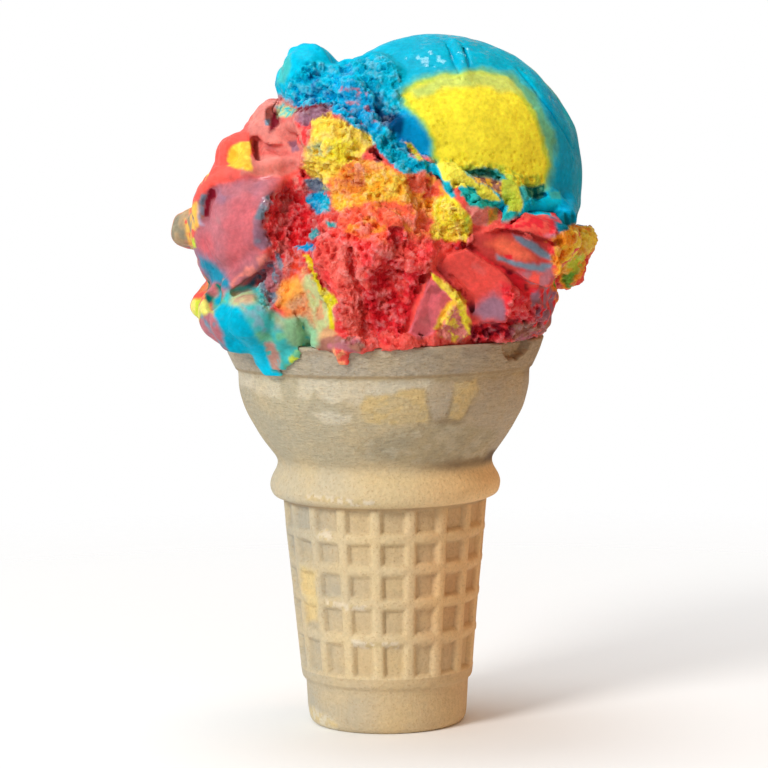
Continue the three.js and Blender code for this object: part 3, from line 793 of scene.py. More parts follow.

# Colours painted on the photographed side, among them painted shade, shadows and a highlight. Each patch is
# its colour, how far its edge blurs in pixels and its outline in pixels of the photograph. Some have a
# second colour, the size of its flecks in mm and how rare they are.
PATCHES = {
    "crown": (PURE_CYAN, 16, [(352, 60), (400, 36), (456, 30), (500, 40), (520, 66), (470, 70), (408, 84),
        (372, 78)]),
    # Painted shade: the ball's right side in a darker teal
    "shaded teal side": (TEAL, 14, [(536, 78), (566, 96), (592, 180), (588, 250), (548, 232), (552, 190),
        (556, 140)]),
    "horn edge": (AQUA, 4, [(277, 84), (280, 66), (290, 54), (292, 66), (284, 84)]),
    "horn pits": (CYAN, 6, [(292, 94), (312, 74), (340, 70), (344, 88), (330, 106), (296, 110)], DEEP_BLUE,
        1.6, 0.4),
    "middle": (linear(0, 186, 234), 5, [(334, 76), (362, 78), (378, 104), (392, 128), (382, 140),
        (356, 130), (326, 108)], CYAN, 2.0, 0.1),
    "middle flecks": (linear(4, 168, 222), 6, [(338, 88), (352, 80), (370, 92), (376, 118), (386, 138),
        (362, 128), (344, 112)], linear(196, 136, 166), 0.9, 0.34),
    "cluster": (PURE_CYAN, 3, [(366, 58), (384, 52), (396, 66), (400, 84), (398, 104), (392, 116),
        (382, 108), (374, 92), (364, 78)], CYAN, 1.3, 0.1),
    # Painted shadows cast by the crumb cluster, over its foot and the hollow beside it
    "cluster shade": (SHADOW_BLUE, 4, [(372, 104), (384, 112), (392, 120), (392, 134), (380, 122)]),
    "hollow": (linear(0, 150, 206), 5, [(386, 118), (404, 112), (420, 118), (431, 138), (432, 158),
        (414, 156), (398, 142)]),
    "hollow shade": (SHADOW_BLUE, 6, [(386, 116), (398, 112), (404, 120), (402, 134), (392, 132)]),
    "patch rim": (SEA_GREEN, 8, [(399, 92), (414, 78), (445, 71), (481, 67), (514, 72), (534, 92),
        (547, 114), (556, 140), (554, 170), (550, 190), (530, 193), (500, 178), (470, 176), (443, 169),
        (431, 160), (431, 140), (418, 119), (402, 106)]),
    "patch edge": (GREEN_YELLOW, 5, [(402, 93), (418, 81), (445, 75), (481, 71), (508, 78), (524, 94),
        (537, 114), (546, 140), (550, 168), (546, 186), (530, 190), (500, 177), (470, 174), (443, 166),
        (434, 158), (434, 140), (421, 119), (405, 105)]),
    "patch": (LEMON, 4, [(405, 95), (420, 84), (446, 80), (480, 77), (504, 84), (520, 98), (534, 118),
        (542, 142), (546, 168), (541, 182), (531, 184), (501, 170), (472, 168), (446, 163), (437, 156),
        (437, 140), (424, 118), (410, 104)]),
    "patch brow": (linear(206, 222, 112), 8, [(410, 90), (440, 77), (480, 73), (510, 79), (522, 94),
        (480, 86), (446, 88), (418, 98)]),
    "patch foot": (GREEN_YELLOW, 5, [(440, 156), (470, 164), (500, 164), (528, 176), (546, 172), (544, 190),
        (520, 188), (496, 176), (462, 174), (440, 166)], LEMON, 0.9, 0.0),
    # Painted shadow in the torn gap under the yellow patch, flecked with aqua
    "torn gap shadow": (DARK_TEAL, 3, [(464, 170), (480, 167), (498, 170), (508, 178), (504, 181), (484, 176),
        (468, 175)], AQUA, 0.9, 0.2),
    "torn inside": (AMBER, 3, [(470, 177), (484, 177), (504, 182), (503, 197), (490, 188), (478, 184)],
        BROWN, 1.2, 0.0),
    "torn end": (DARK_TEAL, 3, [(520, 184), (534, 186), (546, 184), (544, 200), (528, 198), (522, 192)],
        SEA_GREEN, 0.8, 0.2),
    "lump red": (CORAL, 4, [(360, 144), (378, 144), (386, 160), (372, 166), (358, 160)]),
    "yellow lump": (YELLOW, 3, [(302, 152), (308, 130), (311, 119), (318, 113), (329, 110), (333, 119),
        (341, 120), (350, 126), (372, 133), (375, 141), (368, 149), (362, 158), (346, 164), (338, 172),
        (326, 186), (314, 180), (302, 168)]),
    "lump lemon": (LEMON, 6, [(318, 142), (340, 138), (358, 140), (354, 158), (336, 164), (318, 160)]),
    "lump pale": (SAGE, 5, [(308, 146), (322, 141), (334, 146), (328, 154), (312, 156)], YELLOW, 1.2, 0.0),
    "trail": (PURE_CYAN, 3, [(374, 134), (388, 130), (402, 142), (410, 156), (436, 164), (438, 174),
        (404, 176), (388, 160), (376, 146)]),
    "leaf": (GREEN_YELLOW, 2, [(404, 142), (410, 142), (424, 160), (420, 163)], AMBER, 0.8, 0.2),
    # Painted shade in a small carved hole
    "brown hole": (SHADE_WINE, 3, [(373, 152), (378, 150), (384, 160), (378, 164)]),
    "orange": (ORANGE, 5, [(330, 182), (340, 168), (360, 160), (384, 164), (402, 174), (432, 176),
        (452, 192), (448, 212), (436, 224), (422, 210), (400, 206), (372, 214), (344, 216), (332, 206)],
        AMBER, 2.2, 0.05),
    "rust": (RUST, 4, [(334, 178), (346, 166), (362, 166), (368, 178), (360, 192), (342, 196)], ORANGE, 1.2,
        0.1),
    "amber swirl": (AMBER, 5, [(366, 176), (388, 170), (408, 180), (406, 196), (384, 200), (366, 196)],
        YELLOW, 2.0, 0.1),
    "amber streak": (YELLOW, 4, [(334, 192), (342, 194), (352, 206), (346, 218), (336, 210)], AMBER, 1.5,
        0.1),
    "coral spots": (WARM_CORAL, 4, [(406, 176), (424, 172), (438, 178), (444, 196), (430, 200), (412, 192)],
        ORANGE, 1.4, 0.1),
    "orange foot": (WARM_CORAL, 8, [(342, 210), (378, 200), (420, 204), (428, 224), (390, 226), (348, 226)],
        ORANGE, 1.6, 0.2),
    "nub": (YELLOW, 3, [(432, 206), (438, 198), (452, 196), (462, 206), (471, 216), (472, 230), (466, 244),
        (450, 242), (440, 238), (430, 240), (424, 232), (434, 224)], LEMON, 1.6, 0.1),
    "nub green": (GREEN_YELLOW, 4, [(462, 212), (472, 218), (471, 234), (462, 238)], LEMON, 1.0, 0.0),
    "pink chunk": (SALMON, 3, [(467, 204), (484, 205), (498, 210), (497, 218), (487, 226), (474, 224),
        (468, 214)]),
    "chunk yellow": (linear(214, 164, 70), 3, [(488, 209), (498, 208), (497, 219), (488, 225)], ORANGE, 1.0,
        0.0),
    "flap": (linear(246, 236, 84), 2, [(437, 164), (455, 162), (465, 174), (478, 184), (490, 188),
        (500, 200), (497, 204), (480, 197), (470, 189), (462, 186), (452, 190), (444, 181)]),
    "flap tip": (linear(20, 186, 208), 2, [(442, 181), (449, 180), (456, 196), (452, 199), (443, 189)]),
    "flap tips": (linear(36, 190, 184), 2, [(460, 189), (468, 186), (476, 190), (478, 198), (486, 199),
        (500, 202), (500, 208), (486, 206), (481, 208), (470, 205), (466, 199), (460, 196)]),
    "second flap": (linear(214, 222, 76), 2, [(502, 180), (510, 178), (520, 186), (526, 196), (528, 204),
        (518, 214), (506, 216), (509, 208), (503, 200), (501, 190)], GREEN_YELLOW, 1.4, 0.1),
    "second flap foot": (linear(30, 176, 176), 3, [(505, 212), (520, 211), (515, 219), (508, 229),
        (503, 232), (502, 226)]),
    "flap edge": (AQUA, 2, [(519, 186), (523, 186), (530, 200), (529, 206), (524, 204)]),
    "curl": (CYAN, 2, [(524, 201), (540, 198), (556, 194), (562, 200), (560, 211), (548, 214), (533, 215),
        (522, 213)]),
    "curl end": (AQUA, 2, [(549, 191), (561, 191), (561, 199), (551, 199)]),
    # Painted shade: the lobe under the curl in a darker teal
    "right lobe": (linear(0, 122, 150), 5, [(549, 214), (564, 211), (577, 216), (574, 232), (560, 234),
        (551, 226)]),
    "right top red": (DEEP_RED, 6, [(500, 222), (530, 216), (554, 218), (560, 236), (530, 232), (500, 232)],
        CORAL, 1.2, 0.1),
    "upper plank": (linear(202, 72, 68), 4, [(474, 236), (504, 230), (530, 232), (556, 240), (562, 276),
        (556, 290), (520, 288), (496, 272), (466, 250)], PINK, 5.0, 0.3),
    "plank glow": (linear(244, 118, 88), 12, [(486, 243), (504, 236), (522, 244), (534, 258), (516, 258),
        (498, 252)]),
    "plank dusk": (linear(176, 84, 96), 8, [(520, 268), (548, 268), (560, 276), (550, 290), (526, 284)],
        RED, 2.0, 0.1),
    "plank edge": (ORANGE, 4, [(546, 240), (557, 240), (563, 262), (562, 290), (552, 296), (552, 268)], RED,
        1.3, 0.1),
    # Painted shadow under the upper plank's edge, deep red with darker flecks
    "plank gap": (DEEP_RED, 4, [(448, 242), (462, 242), (484, 257), (510, 271), (538, 286), (538, 298),
        (508, 284), (478, 264), (456, 252)], SHADE_WINE, 1.5, 0.15),
    "plank low": (MAUVE, 6, [(522, 272), (548, 268), (558, 278), (550, 288), (528, 288)], CORAL, 1.8, 0.0),
    "upper streak": (SLATE, 4, [(513, 235), (524, 238), (538, 244), (550, 254), (551, 260), (540, 257),
        (528, 248), (516, 241)]),
    "lower streak": (SLATE, 4, [(496, 254), (504, 257), (516, 261), (536, 263), (552, 264), (550, 269),
        (534, 270), (514, 266), (498, 260)]),
    "streak pit": (DEEP_RED, 2, [(504, 254), (511, 255), (512, 260), (506, 259)]),
    "lower plank": (linear(224, 80, 72), 4, [(434, 270), (448, 254), (466, 248), (500, 269), (513, 283),
        (508, 322), (474, 322), (466, 302), (450, 284)], linear(222, 84, 84), 5.0, 0.2),
    "plank end": (GREY_MAUVE, 12, [(470, 308), (482, 300), (494, 292), (502, 296), (508, 308), (506, 322),
        (484, 322)]),
    "pink plank": (PINK, 3, [(408, 332), (428, 280), (440, 284), (456, 300), (446, 312), (436, 332),
        (420, 340)], linear(240, 120, 134), 2.4, 0.2),
    "fringe crumbs": (SALMON, 3, [(438, 336), (446, 312), (460, 304), (466, 322), (470, 336), (452, 342)],
        YELLOW, 1.1, 0.2),
    "fringe": (YELLOW, 2, [(430, 272), (444, 282), (458, 291), (467, 300), (466, 312), (472, 322),
        (475, 332), (469, 336), (464, 326), (460, 312), (455, 302), (444, 292), (432, 280)], LEMON, 1.2,
        0.1),
    "fringe arm": (AMBER, 3, [(456, 298), (458, 304), (446, 314), (438, 330), (433, 330), (438, 316),
        (448, 304)], YELLOW, 1.0, 0.0),
    "right crumbs": (RED, 5, [(500, 282), (514, 286), (530, 292), (534, 312), (520, 322), (508, 318),
        (502, 296)], DEEP_RED, 1.3, 0.0),
    "right edge": (GREY_MAUVE, 5, [(530, 292), (544, 288), (560, 290), (552, 318), (538, 324), (532, 306)],
        DEEP_RED, 1.6, 0.2),
    # Deep red crumbs at the rim, with flecks of painted shade
    "rim crumbs": (DEEP_RED, 5, [(470, 324), (506, 322), (534, 312), (540, 330), (512, 340), (472, 344)],
        SHADE_WINE, 1.4, 0.1),
    "notch crumbs": (BROWN, 5, [(510, 326), (534, 320), (552, 318), (544, 346), (524, 350), (512, 340)],
        MAUVE, 1.2, 0.0),
    "right knob": (linear(248, 152, 40), 3, [(552, 238), (572, 226), (590, 222), (600, 232), (598, 250),
        (588, 268), (574, 284), (560, 292), (556, 262)], AMBER, 1.8, 0.05),
    "knob yellow": (YELLOW, 3, [(578, 224), (598, 224), (600, 242), (590, 256), (582, 246)], ORANGE, 1.4,
        0.3),
    "knob low": (GREEN_YELLOW, 4, [(566, 256), (582, 252), (588, 262), (576, 272), (566, 268)], ORANGE, 1.4,
        0.1),
    "knob green": (linear(110, 170, 60), 4, [(562, 276), (576, 270), (574, 282), (562, 292)]),
    "warm crag": (WARM_CORAL, 10, [(332, 222), (348, 212), (388, 206), (422, 212), (430, 236), (420, 256),
        (380, 250), (350, 240)], CORAL, 1.8, 0.1),
    "crag": (CORAL, 8, [(330, 226), (430, 226), (436, 252), (420, 272), (410, 310), (398, 346), (344, 346),
        (330, 316), (322, 270)], RED, 1.8, 0.0),
    "crag bright": (linear(248, 112, 100), 10, [(334, 240), (352, 238), (362, 270), (366, 300), (376, 340),
        (348, 342), (338, 310), (330, 270)], CORAL, 1.6, 0.1),
    "crag top": (WARM_CORAL, 12, [(340, 218), (388, 210), (424, 214), (428, 236), (380, 240), (346, 236)],
        ORANGE, 1.5, 0.35),
    "crag deep": (DEEP_RED, 10, [(366, 274), (392, 262), (424, 272), (416, 306), (398, 334), (376, 340),
        (364, 306)], CORAL, 1.5, 0.2),
    "crag pit": (RED, 4, [(388, 226), (404, 226), (406, 242), (394, 248), (386, 240)]),
    "crag dots": (AQUA, 3, [(328, 222), (336, 222), (336, 227), (329, 227)]),
    "shoulder": (linear(222, 104, 98), 8, [(240, 136), (256, 106), (280, 94), (300, 112), (312, 128),
        (304, 160), (262, 154)], SALMON, 4.0, 0.1),
    "shoulder haze": (MAUVE, 10, [(262, 150), (272, 132), (292, 124), (300, 132), (284, 146)], SALMON, 2.4,
        0.0),
    "shoulder pale": (SALMON, 6, [(264, 140), (272, 128), (290, 120), (303, 128), (298, 152), (276, 150)]),
    "shoulder crumbs": (RED, 4, [(297, 122), (308, 120), (308, 146), (298, 144)], SALMON, 1.2, 0.1),
    "lobe": (SALMON, 5, [(247, 134), (252, 114), (266, 100), (276, 100), (272, 120), (262, 134)]),
    "lobe fleck": (SLATE, 2, [(265, 119), (270, 119), (270, 125), (265, 125)]),
    "lobe shade": (SHADE_WINE, 4, [(272, 112), (279, 108), (281, 120), (274, 130), (269, 132)]),
    "mauve lump": (GREY_MAUVE, 5, [(296, 120), (300, 110), (318, 104), (334, 104), (330, 112), (316, 118),
        (304, 126)]),
    # Painted shadow under the horn
    "shadow under horn": (SHADE_WINE, 4, [(282, 112), (300, 108), (328, 102), (322, 107), (300, 113), (286, 117)]),
    "horn ball": (SAGE, 4, [(275, 106), (284, 104), (296, 110), (292, 117), (279, 117)], AQUA, 1.4, 0.1),
    "grey fleck": (GREY_MAUVE, 3, [(288, 141), (296, 139), (300, 150), (292, 152)]),
    "cheek": (linear(186, 112, 122), 18, [(205, 190), (216, 182), (240, 178), (262, 176), (282, 172),
        (272, 196), (258, 212), (253, 230), (256, 246), (266, 258), (248, 278), (230, 292), (200, 286),
        (184, 256), (184, 222)], PINK, 6.0, 0.1),
    "cheek top": (GREY_MAUVE, 12, [(216, 190), (236, 182), (260, 184), (254, 198), (232, 204), (216, 204)],
        MAUVE, 3.0, 0.0),
    "cheek heart": (linear(206, 106, 114), 16, [(232, 200), (254, 196), (252, 226), (252, 250), (236, 270),
        (222, 254), (226, 224)]),
    "cheek brow": (SALMON, 5, [(236, 156), (258, 154), (300, 156), (304, 166), (284, 176), (262, 176),
        (240, 174)]),
    "cheek rim": (CORAL, 4, [(199, 196), (204, 180), (220, 170), (242, 170), (240, 178), (216, 184),
        (206, 194)]),
    "cheek foot": (GREY_MAUVE, 8, [(186, 238), (206, 254), (226, 272), (232, 290), (206, 290), (188, 262)]),
    "teal stripe": (linear(30, 138, 170), 7, [(200, 256), (210, 262), (222, 272), (231, 284), (227, 290),
        (212, 280), (201, 266)]),
    "cheek lip": (SALMON, 4, [(229, 284), (240, 272), (256, 258), (268, 254), (268, 262), (252, 276),
        (236, 290)], MAUVE, 2.0, 0.2),
    "cheek shadow": (linear(70, 104, 126), 4, [(236, 292), (248, 282), (264, 268), (268, 272), (256, 284),
        (242, 294)]),
    # Painted shade in the slit
    "slit": (SHADE_WINE, 2, [(211, 189), (216, 191), (211, 203), (209, 217), (203, 217), (205, 200)]),
    "slit curl": (BROWN, 3, [(197, 204), (202, 194), (207, 196), (203, 208), (204, 220), (198, 218)], SLATE,
        1.5, 0.1),
    # Painted highlight on the curl
    "curl highlight": (linear(176, 166, 190), 5, [(195, 204), (199, 206), (200, 220), (204, 226), (198, 226),
        (195, 216)]),
    "cheek knob": (CORAL, 4, [(216, 160), (218, 136), (232, 130), (250, 132), (252, 140), (234, 144),
        (228, 160)]),
    "amber fold": (AMBER, 3, [(226, 164), (230, 148), (240, 141), (252, 141), (250, 156), (252, 172),
        (238, 168)], YELLOW, 1.6, 0.2),
    # Painted shade in the crease beside the amber fold
    "amber crease": (linear(150, 60, 52), 2, [(253, 140), (258, 141), (260, 160), (255, 161)]),
    "crumb zone": (RED, 5, [(264, 206), (274, 194), (300, 172), (314, 186), (322, 220), (314, 262),
        (304, 280), (290, 292), (282, 304), (264, 312), (256, 280), (268, 262), (274, 244), (264, 224)],
        SALMON, 1.3, 0.25),
    "crumb zone deep": (DEEP_RED, 7, [(290, 200), (304, 196), (312, 222), (304, 256), (292, 262),
        (286, 232)], RED, 1.2, 0.1),
    "zone pink": (WARM_CORAL, 6, [(284, 252), (300, 250), (306, 268), (298, 282), (284, 284)], SALMON, 1.2,
        0.1),
    "dull crumbs": (MAUVE, 5, [(258, 270), (270, 258), (282, 266), (282, 296), (270, 310), (258, 300)],
        SLATE, 1.1, 0.2),
    "slate curl": (SLATE, 2, [(274, 252), (280, 256), (284, 268), (281, 273), (277, 264)]),
    "cheek flap": (GREY_MAUVE, 4, [(262, 198), (272, 192), (268, 210), (262, 226), (270, 236), (273, 246),
        (262, 252), (254, 244), (252, 222)], SLATE, 2.4, 0.15),
    "grey sage": (SLATE, 3, [(304, 180), (318, 177), (330, 190), (322, 194), (308, 190)], SAGE, 1.2, 0.1),
    "blue patch": (CYAN, 3, [(308, 194), (322, 191), (331, 198), (328, 214), (318, 214), (308, 204)]),
    "blue dots": (AQUA, 2, [(310, 229), (318, 228), (319, 238), (313, 240), (310, 236)]),
    "blue ball": (CYAN, 2, [(297, 246), (305, 243), (314, 243), (314, 251), (306, 252), (299, 251)], TEAL,
        1.0, 0.1),
    "orange patch": (linear(250, 172, 84), 8, [(277, 288), (284, 280), (298, 276), (306, 286), (300, 304),
        (286, 310), (277, 304)], ORANGE, 1.6, 0.0),
    "tan patch": (TAN, 9, [(286, 304), (300, 296), (316, 302), (320, 320), (312, 334), (296, 332),
        (284, 318)], RUST, 1.6, 0.2),
    "sage patch": (linear(204, 210, 150), 7, [(302, 268), (312, 274), (328, 298), (334, 320), (318, 336),
        (312, 312), (303, 290)], TAN, 2.0, 0.3),
    "drip pool": (AQUA, 6, [(224, 292), (240, 286), (258, 286), (266, 302), (282, 318), (300, 328),
        (314, 334), (316, 348), (304, 352), (298, 360), (292, 366), (284, 378), (266, 382), (250, 358),
        (226, 358), (210, 330), (214, 306)], SEA_GREEN, 2.6, 0.1),
    "pool grey": (linear(190, 160, 130), 8, [(230, 294), (252, 290), (258, 302), (244, 310), (230, 306)],
        SAGE, 2.4, 0.2),
    "pool blue": (linear(126, 176, 190), 10, [(240, 304), (258, 302), (276, 314), (284, 328), (266, 332),
        (246, 322)], AQUA, 1.8, 0.1),
    "pool haze": (linear(168, 184, 150), 10, [(268, 308), (284, 318), (300, 326), (306, 334), (292, 338),
        (278, 330)], SEA_GREEN, 2.2, 0.0),
    "pool cyan": (PURE_CYAN, 7, [(213, 312), (222, 303), (238, 308), (250, 324), (260, 342), (266, 360),
        (266, 376), (254, 366), (248, 354), (226, 358), (212, 338)]),
    "drip cyan": (CYAN, 3, [(248, 344), (264, 346), (270, 366), (280, 371), (276, 384), (262, 379),
        (254, 360)]),
    "drip channel": (linear(190, 142, 130), 4, [(265, 342), (273, 342), (281, 356), (280, 372), (272, 372),
        (267, 356)], AQUA, 1.3, 0.5),
    "tan ridge": (linear(226, 176, 128), 4, [(312, 344), (318, 334), (330, 326), (337, 334), (328, 342),
        (316, 350)]),
    "yellow slit": (linear(232, 218, 40), 2, [(304, 254), (309, 254), (315, 272), (322, 286), (334, 296),
        (337, 302), (332, 312), (334, 330), (329, 328), (327, 306), (317, 290), (310, 272)]),
    # Painted shade: the overhang's underside in brown and mauve
    "overhang": (BROWN, 4, [(314, 344), (330, 336), (350, 338), (366, 344), (360, 353), (338, 355),
        (320, 353)], MAUVE, 2.5, 0.3),
    "hanging crumb": (linear(244, 160, 116), 2, [(332, 349), (344, 349), (346, 366), (334, 364)], CORAL,
        1.1, 0.2),
    "hanging red": (CORAL, 2, [(344, 350), (353, 352), (351, 364), (345, 364)]),
    "left knob": (linear(178, 152, 118), 5, [(150, 194), (180, 200), (190, 208), (188, 236), (180, 254),
        (150, 252)], linear(150, 140, 116), 3.0, 0.1),
    "left knob yellow": (linear(250, 190, 90), 5, [(184, 206), (197, 202), (198, 226), (193, 242),
        (185, 234)], CORAL, 1.6, 0.25),
    "left knob foot": (GREEN_YELLOW, 3, [(187, 240), (194, 238), (196, 248), (190, 252)]),
    "red pillar": (CORAL, 3, [(194, 276), (206, 280), (208, 302), (196, 304)], RUST, 2.0, 0.0),
    # Dark teal pit: teal ice cream with painted shade
    "shaded teal pit": (DARK_TEAL, 3, [(206, 284), (214, 284), (222, 292), (220, 304), (208, 304)]),
    "low knob": (linear(234, 224, 116), 4, [(182, 298), (208, 300), (213, 314), (210, 328), (194, 322)],
        GREEN_YELLOW, 3.0, 0.1),
    "low knob edge": (MAUVE, 5, [(190, 322), (209, 312), (216, 318), (222, 334), (226, 358), (212, 354),
        (196, 340)], SLATE, 2.4, 0.25),
    "drip green": (linear(150, 200, 156), 8, [(284, 318), (306, 316), (318, 330), (318, 346), (304, 354),
        (292, 350), (284, 336)], AQUA, 1.8, 0.25),
    "green lip": (GREEN_YELLOW, 3, [(288, 358), (294, 350), (304, 344), (306, 350), (298, 362), (290, 366)],
        SEA_GREEN, 1.2, -0.1),
}

# Glazed places that shine white
WET_PLACES = [
    [(222, 176), (228, 170), (244, 169), (242, 178), (228, 181)],
    [(254, 176), (262, 168), (284, 160), (280, 172), (264, 180)],
    [(214, 220), (228, 208), (232, 212), (218, 226)],
    [(420, 322), (440, 300), (446, 306), (426, 328)],
    [(474, 262), (486, 270), (484, 276), (472, 268)],
    [(262, 196), (266, 192), (266, 210), (262, 214)],
]
FROSTED_PLACE = [
    (404, 60), (430, 34), (470, 28), (512, 40), (540, 72), (560, 110), (540, 100), (512, 66), (470, 58),
    (420, 76),
]

# Where the smooth yellow patch is pitted: how densely, and the outline
PITTED_PLACES = [
    (0.45, [(404, 94), (446, 76), (504, 80), (536, 116), (548, 168), (541, 184), (501, 172), (446, 165),
        (436, 140)]),
    (1.0, [(404, 92), (420, 96), (446, 116), (452, 140), (490, 150), (530, 150), (540, 130), (549, 168),
        (541, 186), (501, 174), (446, 167), (434, 140)]),
]

# How far in pixels the patches sway where the outer sides turn away from the camera
WIDEST_SWAY = 34.0

# Swirls on the sides that the photograph doesn't show: colour, size of the swirl in mm and how rare it is
LOWER_SWIRLS = [
    (SALMON, 17.0, 0.1),
    (MAUVE, 15.0, 0.25),
    (ORANGE, 13.0, 0.34),
    (YELLOW, 11.0, 0.42),
    (CYAN, 14.0, 0.4),
    (RED, 9.0, 0.36),
]
UPPER_SWIRLS = [
    (PURE_CYAN, 13.0, 0.2),
    (TEAL, 16.0, 0.28),
    (linear(0, 164, 206), 12.0, 0.3),
    (LEMON, 19.0, 0.5),
]


def tinted(points, base, swirls, facing):
    """Colour of each point: swirls all round, and the outlined patches on the photographed side.

    Where the outer sides turn away from the camera, the patches sway and then give way to the swirls.
    """
    colour = np.tile(base, (len(points), 1))
    folded = points + 4.0 * np.stack([wavy(points, 9.0, layer) for layer in (3, 4, 5)], 1)
    for number, (tint, size, rarity) in enumerate(swirls):
        share = soft_step(wavy(folded, size, number), rarity - 0.09, rarity + 0.13)[:, None]
        colour = colour * (1 - share) + tint * share
    in_front = front_share(points) * soft_step(facing, 0.0, 0.2)
    colour = colour * (1 - in_front[:, None]) + base * in_front[:, None]
    return painted(points, colour, PATCHES, in_front, WIDEST_SWAY * (1 - soft_step(facing, 0.1, 0.5)))


def painted(points, colour, patches, in_front, sway=0.0):
    """Paints outlined patches with ragged edges over the colours of the photographed side."""
    column, row = to_picture(points)
    column = column + sway * wavy(points, 6.0, 5)
    row = row + sway * wavy(points, 6.0, 6)
    ragged = [1.6 * wavy(points, 0.9, layer) + 2.2 * wavy(points, 2.7, layer + 2) for layer in (1, 2)]
    for tint, blur, outline, *flecks in patches.values():
        close = np.nonzero(near_outline(column, row, outline, blur + 6) & (in_front > 0))[0]
        if len(close) == 0:
            continue
        swing = 0.35 + 0.05 * blur
        across = column[close] + swing * ragged[0][close]
        along = row[close] + swing * ragged[1][close]
        edge = outline_distance(across, along, outline)
        share = (soft_step(-edge, -blur / 2, blur / 2) * in_front[close])[:, None]
        patch = np.tile(tint, (len(close), 1))
        if flecks:
            second, size, rarity = flecks
            spread = 0.1 + 0.025 * blur
            noise = layered(points[close], size, 2, 2)
            fleck = soft_step(noise, rarity - spread, rarity + 1.4 * spread)[:, None]
            patch = patch * (1 - fleck) + second * fleck
        colour[close] = colour[close] * (1 - share) + patch * share
    return colour


def pits_of(points):
    """How densely the smooth yellow patch is pitted, from 0 to 1."""
    column, row = to_picture(points)
    pits = np.zeros(len(points))
    for share, outline in PITTED_PLACES:
        close = near_outline(column, row, outline, 6) & (points[:, 1] < 0)
        edge = outline_distance(column[close], row[close], outline)
        pits[close] = np.maximum(pits[close], share * soft_step(-edge, -4, 4))
    return pits


def wetness_of(points):
    """1 in the glazed places of the photographed side, and in scattered places behind."""
    column, row = to_picture(points)
    wet = 0.7 * soft_step(wavy(points, 5.0, 4), 0.45, 0.6) * soft_step(points[:, 1], -4, 2)
    for outline in WET_PLACES:
        close = near_outline(column, row, outline, 4) & (points[:, 1] < 0)
        edge = outline_distance(column[close], row[close], outline)
        wet[close] = np.maximum(wet[close], soft_step(-edge, -2, 2))
    frost = near_outline(column, row, FROSTED_PLACE, 4) & (points[:, 1] < 0)
    inside = soft_step(-outline_distance(column[frost], row[frost], FROSTED_PLACE), -6, 6)
    icy = soft_step(wavy(points[frost], 0.8, 5) + 0.4 * wavy(points[frost], 4.0, 6), 0.35, 0.55)
    wet[frost] = np.maximum(wet[frost], inside * icy)
    return wet


def mottled(points, colour):
    """Uneven tint within a patch, strongest in red and weakest in blue."""
    shift = layered(points, 3.0, 3, 6)[:, None] * np.array([0.12, 0.096, 0.072])
    return np.clip(colour * (1 + shift), 0, 1)


# Materials

class Nodes:
    """A material's nodes, with short calls to add and join them."""

    def __init__(self, name):
        self.material = bpy.data.materials.new(name)
        self.material.use_nodes = True
        self.tree = self.material.node_tree
        self.shader = self.tree.nodes["Principled BSDF"]

    def add(self, kind, settings=None, **inputs):
        node = self.tree.nodes.new(kind)
        for key, value in (settings or {}).items():
            setattr(node, key, value)
        for key, value in inputs.items():
            self.put(node, key.replace("_", " "), value)
        return node

    def put(self, node, socket, value):
        if isinstance(value, bpy.types.NodeSocket):
            self.tree.links.new(value, node.inputs[socket])
        else:
            node.inputs[socket].default_value = value

    def attribute(self, name):
        return self.add("ShaderNodeAttribute", {"attribute_name": name})

    def math(self, operation, a, b=0.0):
        node = self.add("ShaderNodeMath", {"operation": operation})
        self.put(node, 0, a)
        self.put(node, 1, b)
        return node.outputs[0]

    def noise(self, size_mm, detail=3.0, roughness=0.55, offset=0.0, stretch=(1, 1, 1), turn=(0, 0, 0)):
        place = self.add("ShaderNodeTexCoord").outputs["Object"]
        moved = self.add("ShaderNodeMapping")
        self.put(moved, "Vector", place)
        moved.inputs["Location"].default_value = (offset, offset * 0.7, -offset)
        moved.inputs["Rotation"].default_value = turn
        moved.inputs["Scale"].default_value = stretch
        scale = 1 / (size_mm * MM)
        node = self.add("ShaderNodeTexNoise", None, Scale=scale, Detail=detail, Roughness=roughness)
        self.put(node, "Vector", moved.outputs[0])
        return node.outputs["Fac"]

    def cells(self, size_mm, offset=0.0):
        """Distance from the nearest of many scattered grains."""
        moved = self.add("ShaderNodeMapping")
        self.put(moved, "Vector", self.add("ShaderNodeTexCoord").outputs["Object"])
        moved.inputs["Location"].default_value = (offset, -offset, offset * 0.6)
        node = self.add("ShaderNodeTexVoronoi", None, Scale=1 / (size_mm * MM))
        self.put(node, "Vector", moved.outputs[0])
        return node.outputs["Distance"]

    def blend_values(self, share, a, b):
        node = self.add("ShaderNodeMix", {"data_type": "FLOAT"})
        self.put(node, 0, share)
        self.put(node, 2, a)
        self.put(node, 3, b)
        return node.outputs[0]

    def spread(self, value, from_low, from_high, to_low, to_high):
        node = self.add("ShaderNodeMapRange", None, Value=value)
        limits = {"From Min": from_low, "From Max": from_high, "To Min": to_low, "To Max": to_high}
        for key, number in limits.items():
            self.put(node, key, number)
        return node.outputs["Result"]

    def mix(self, share, a, b, blend="MIX"):
        node = self.add("ShaderNodeMix", {"data_type": "RGBA", "blend_type": blend})
        for key, value in ((0, share), (6, a), (7, b)):
            self.put(node, key, value)
        return node.outputs[2]

    def bump(self, height, strength, distance_mm, normal=None):
        node = self.add("ShaderNodeBump", None, Distance=distance_mm * MM)
        self.put(node, "Height", height)
        self.put(node, "Strength", strength)
        if normal is not None:
            self.put(node, "Normal", normal)
        return node.outputs["Normal"]


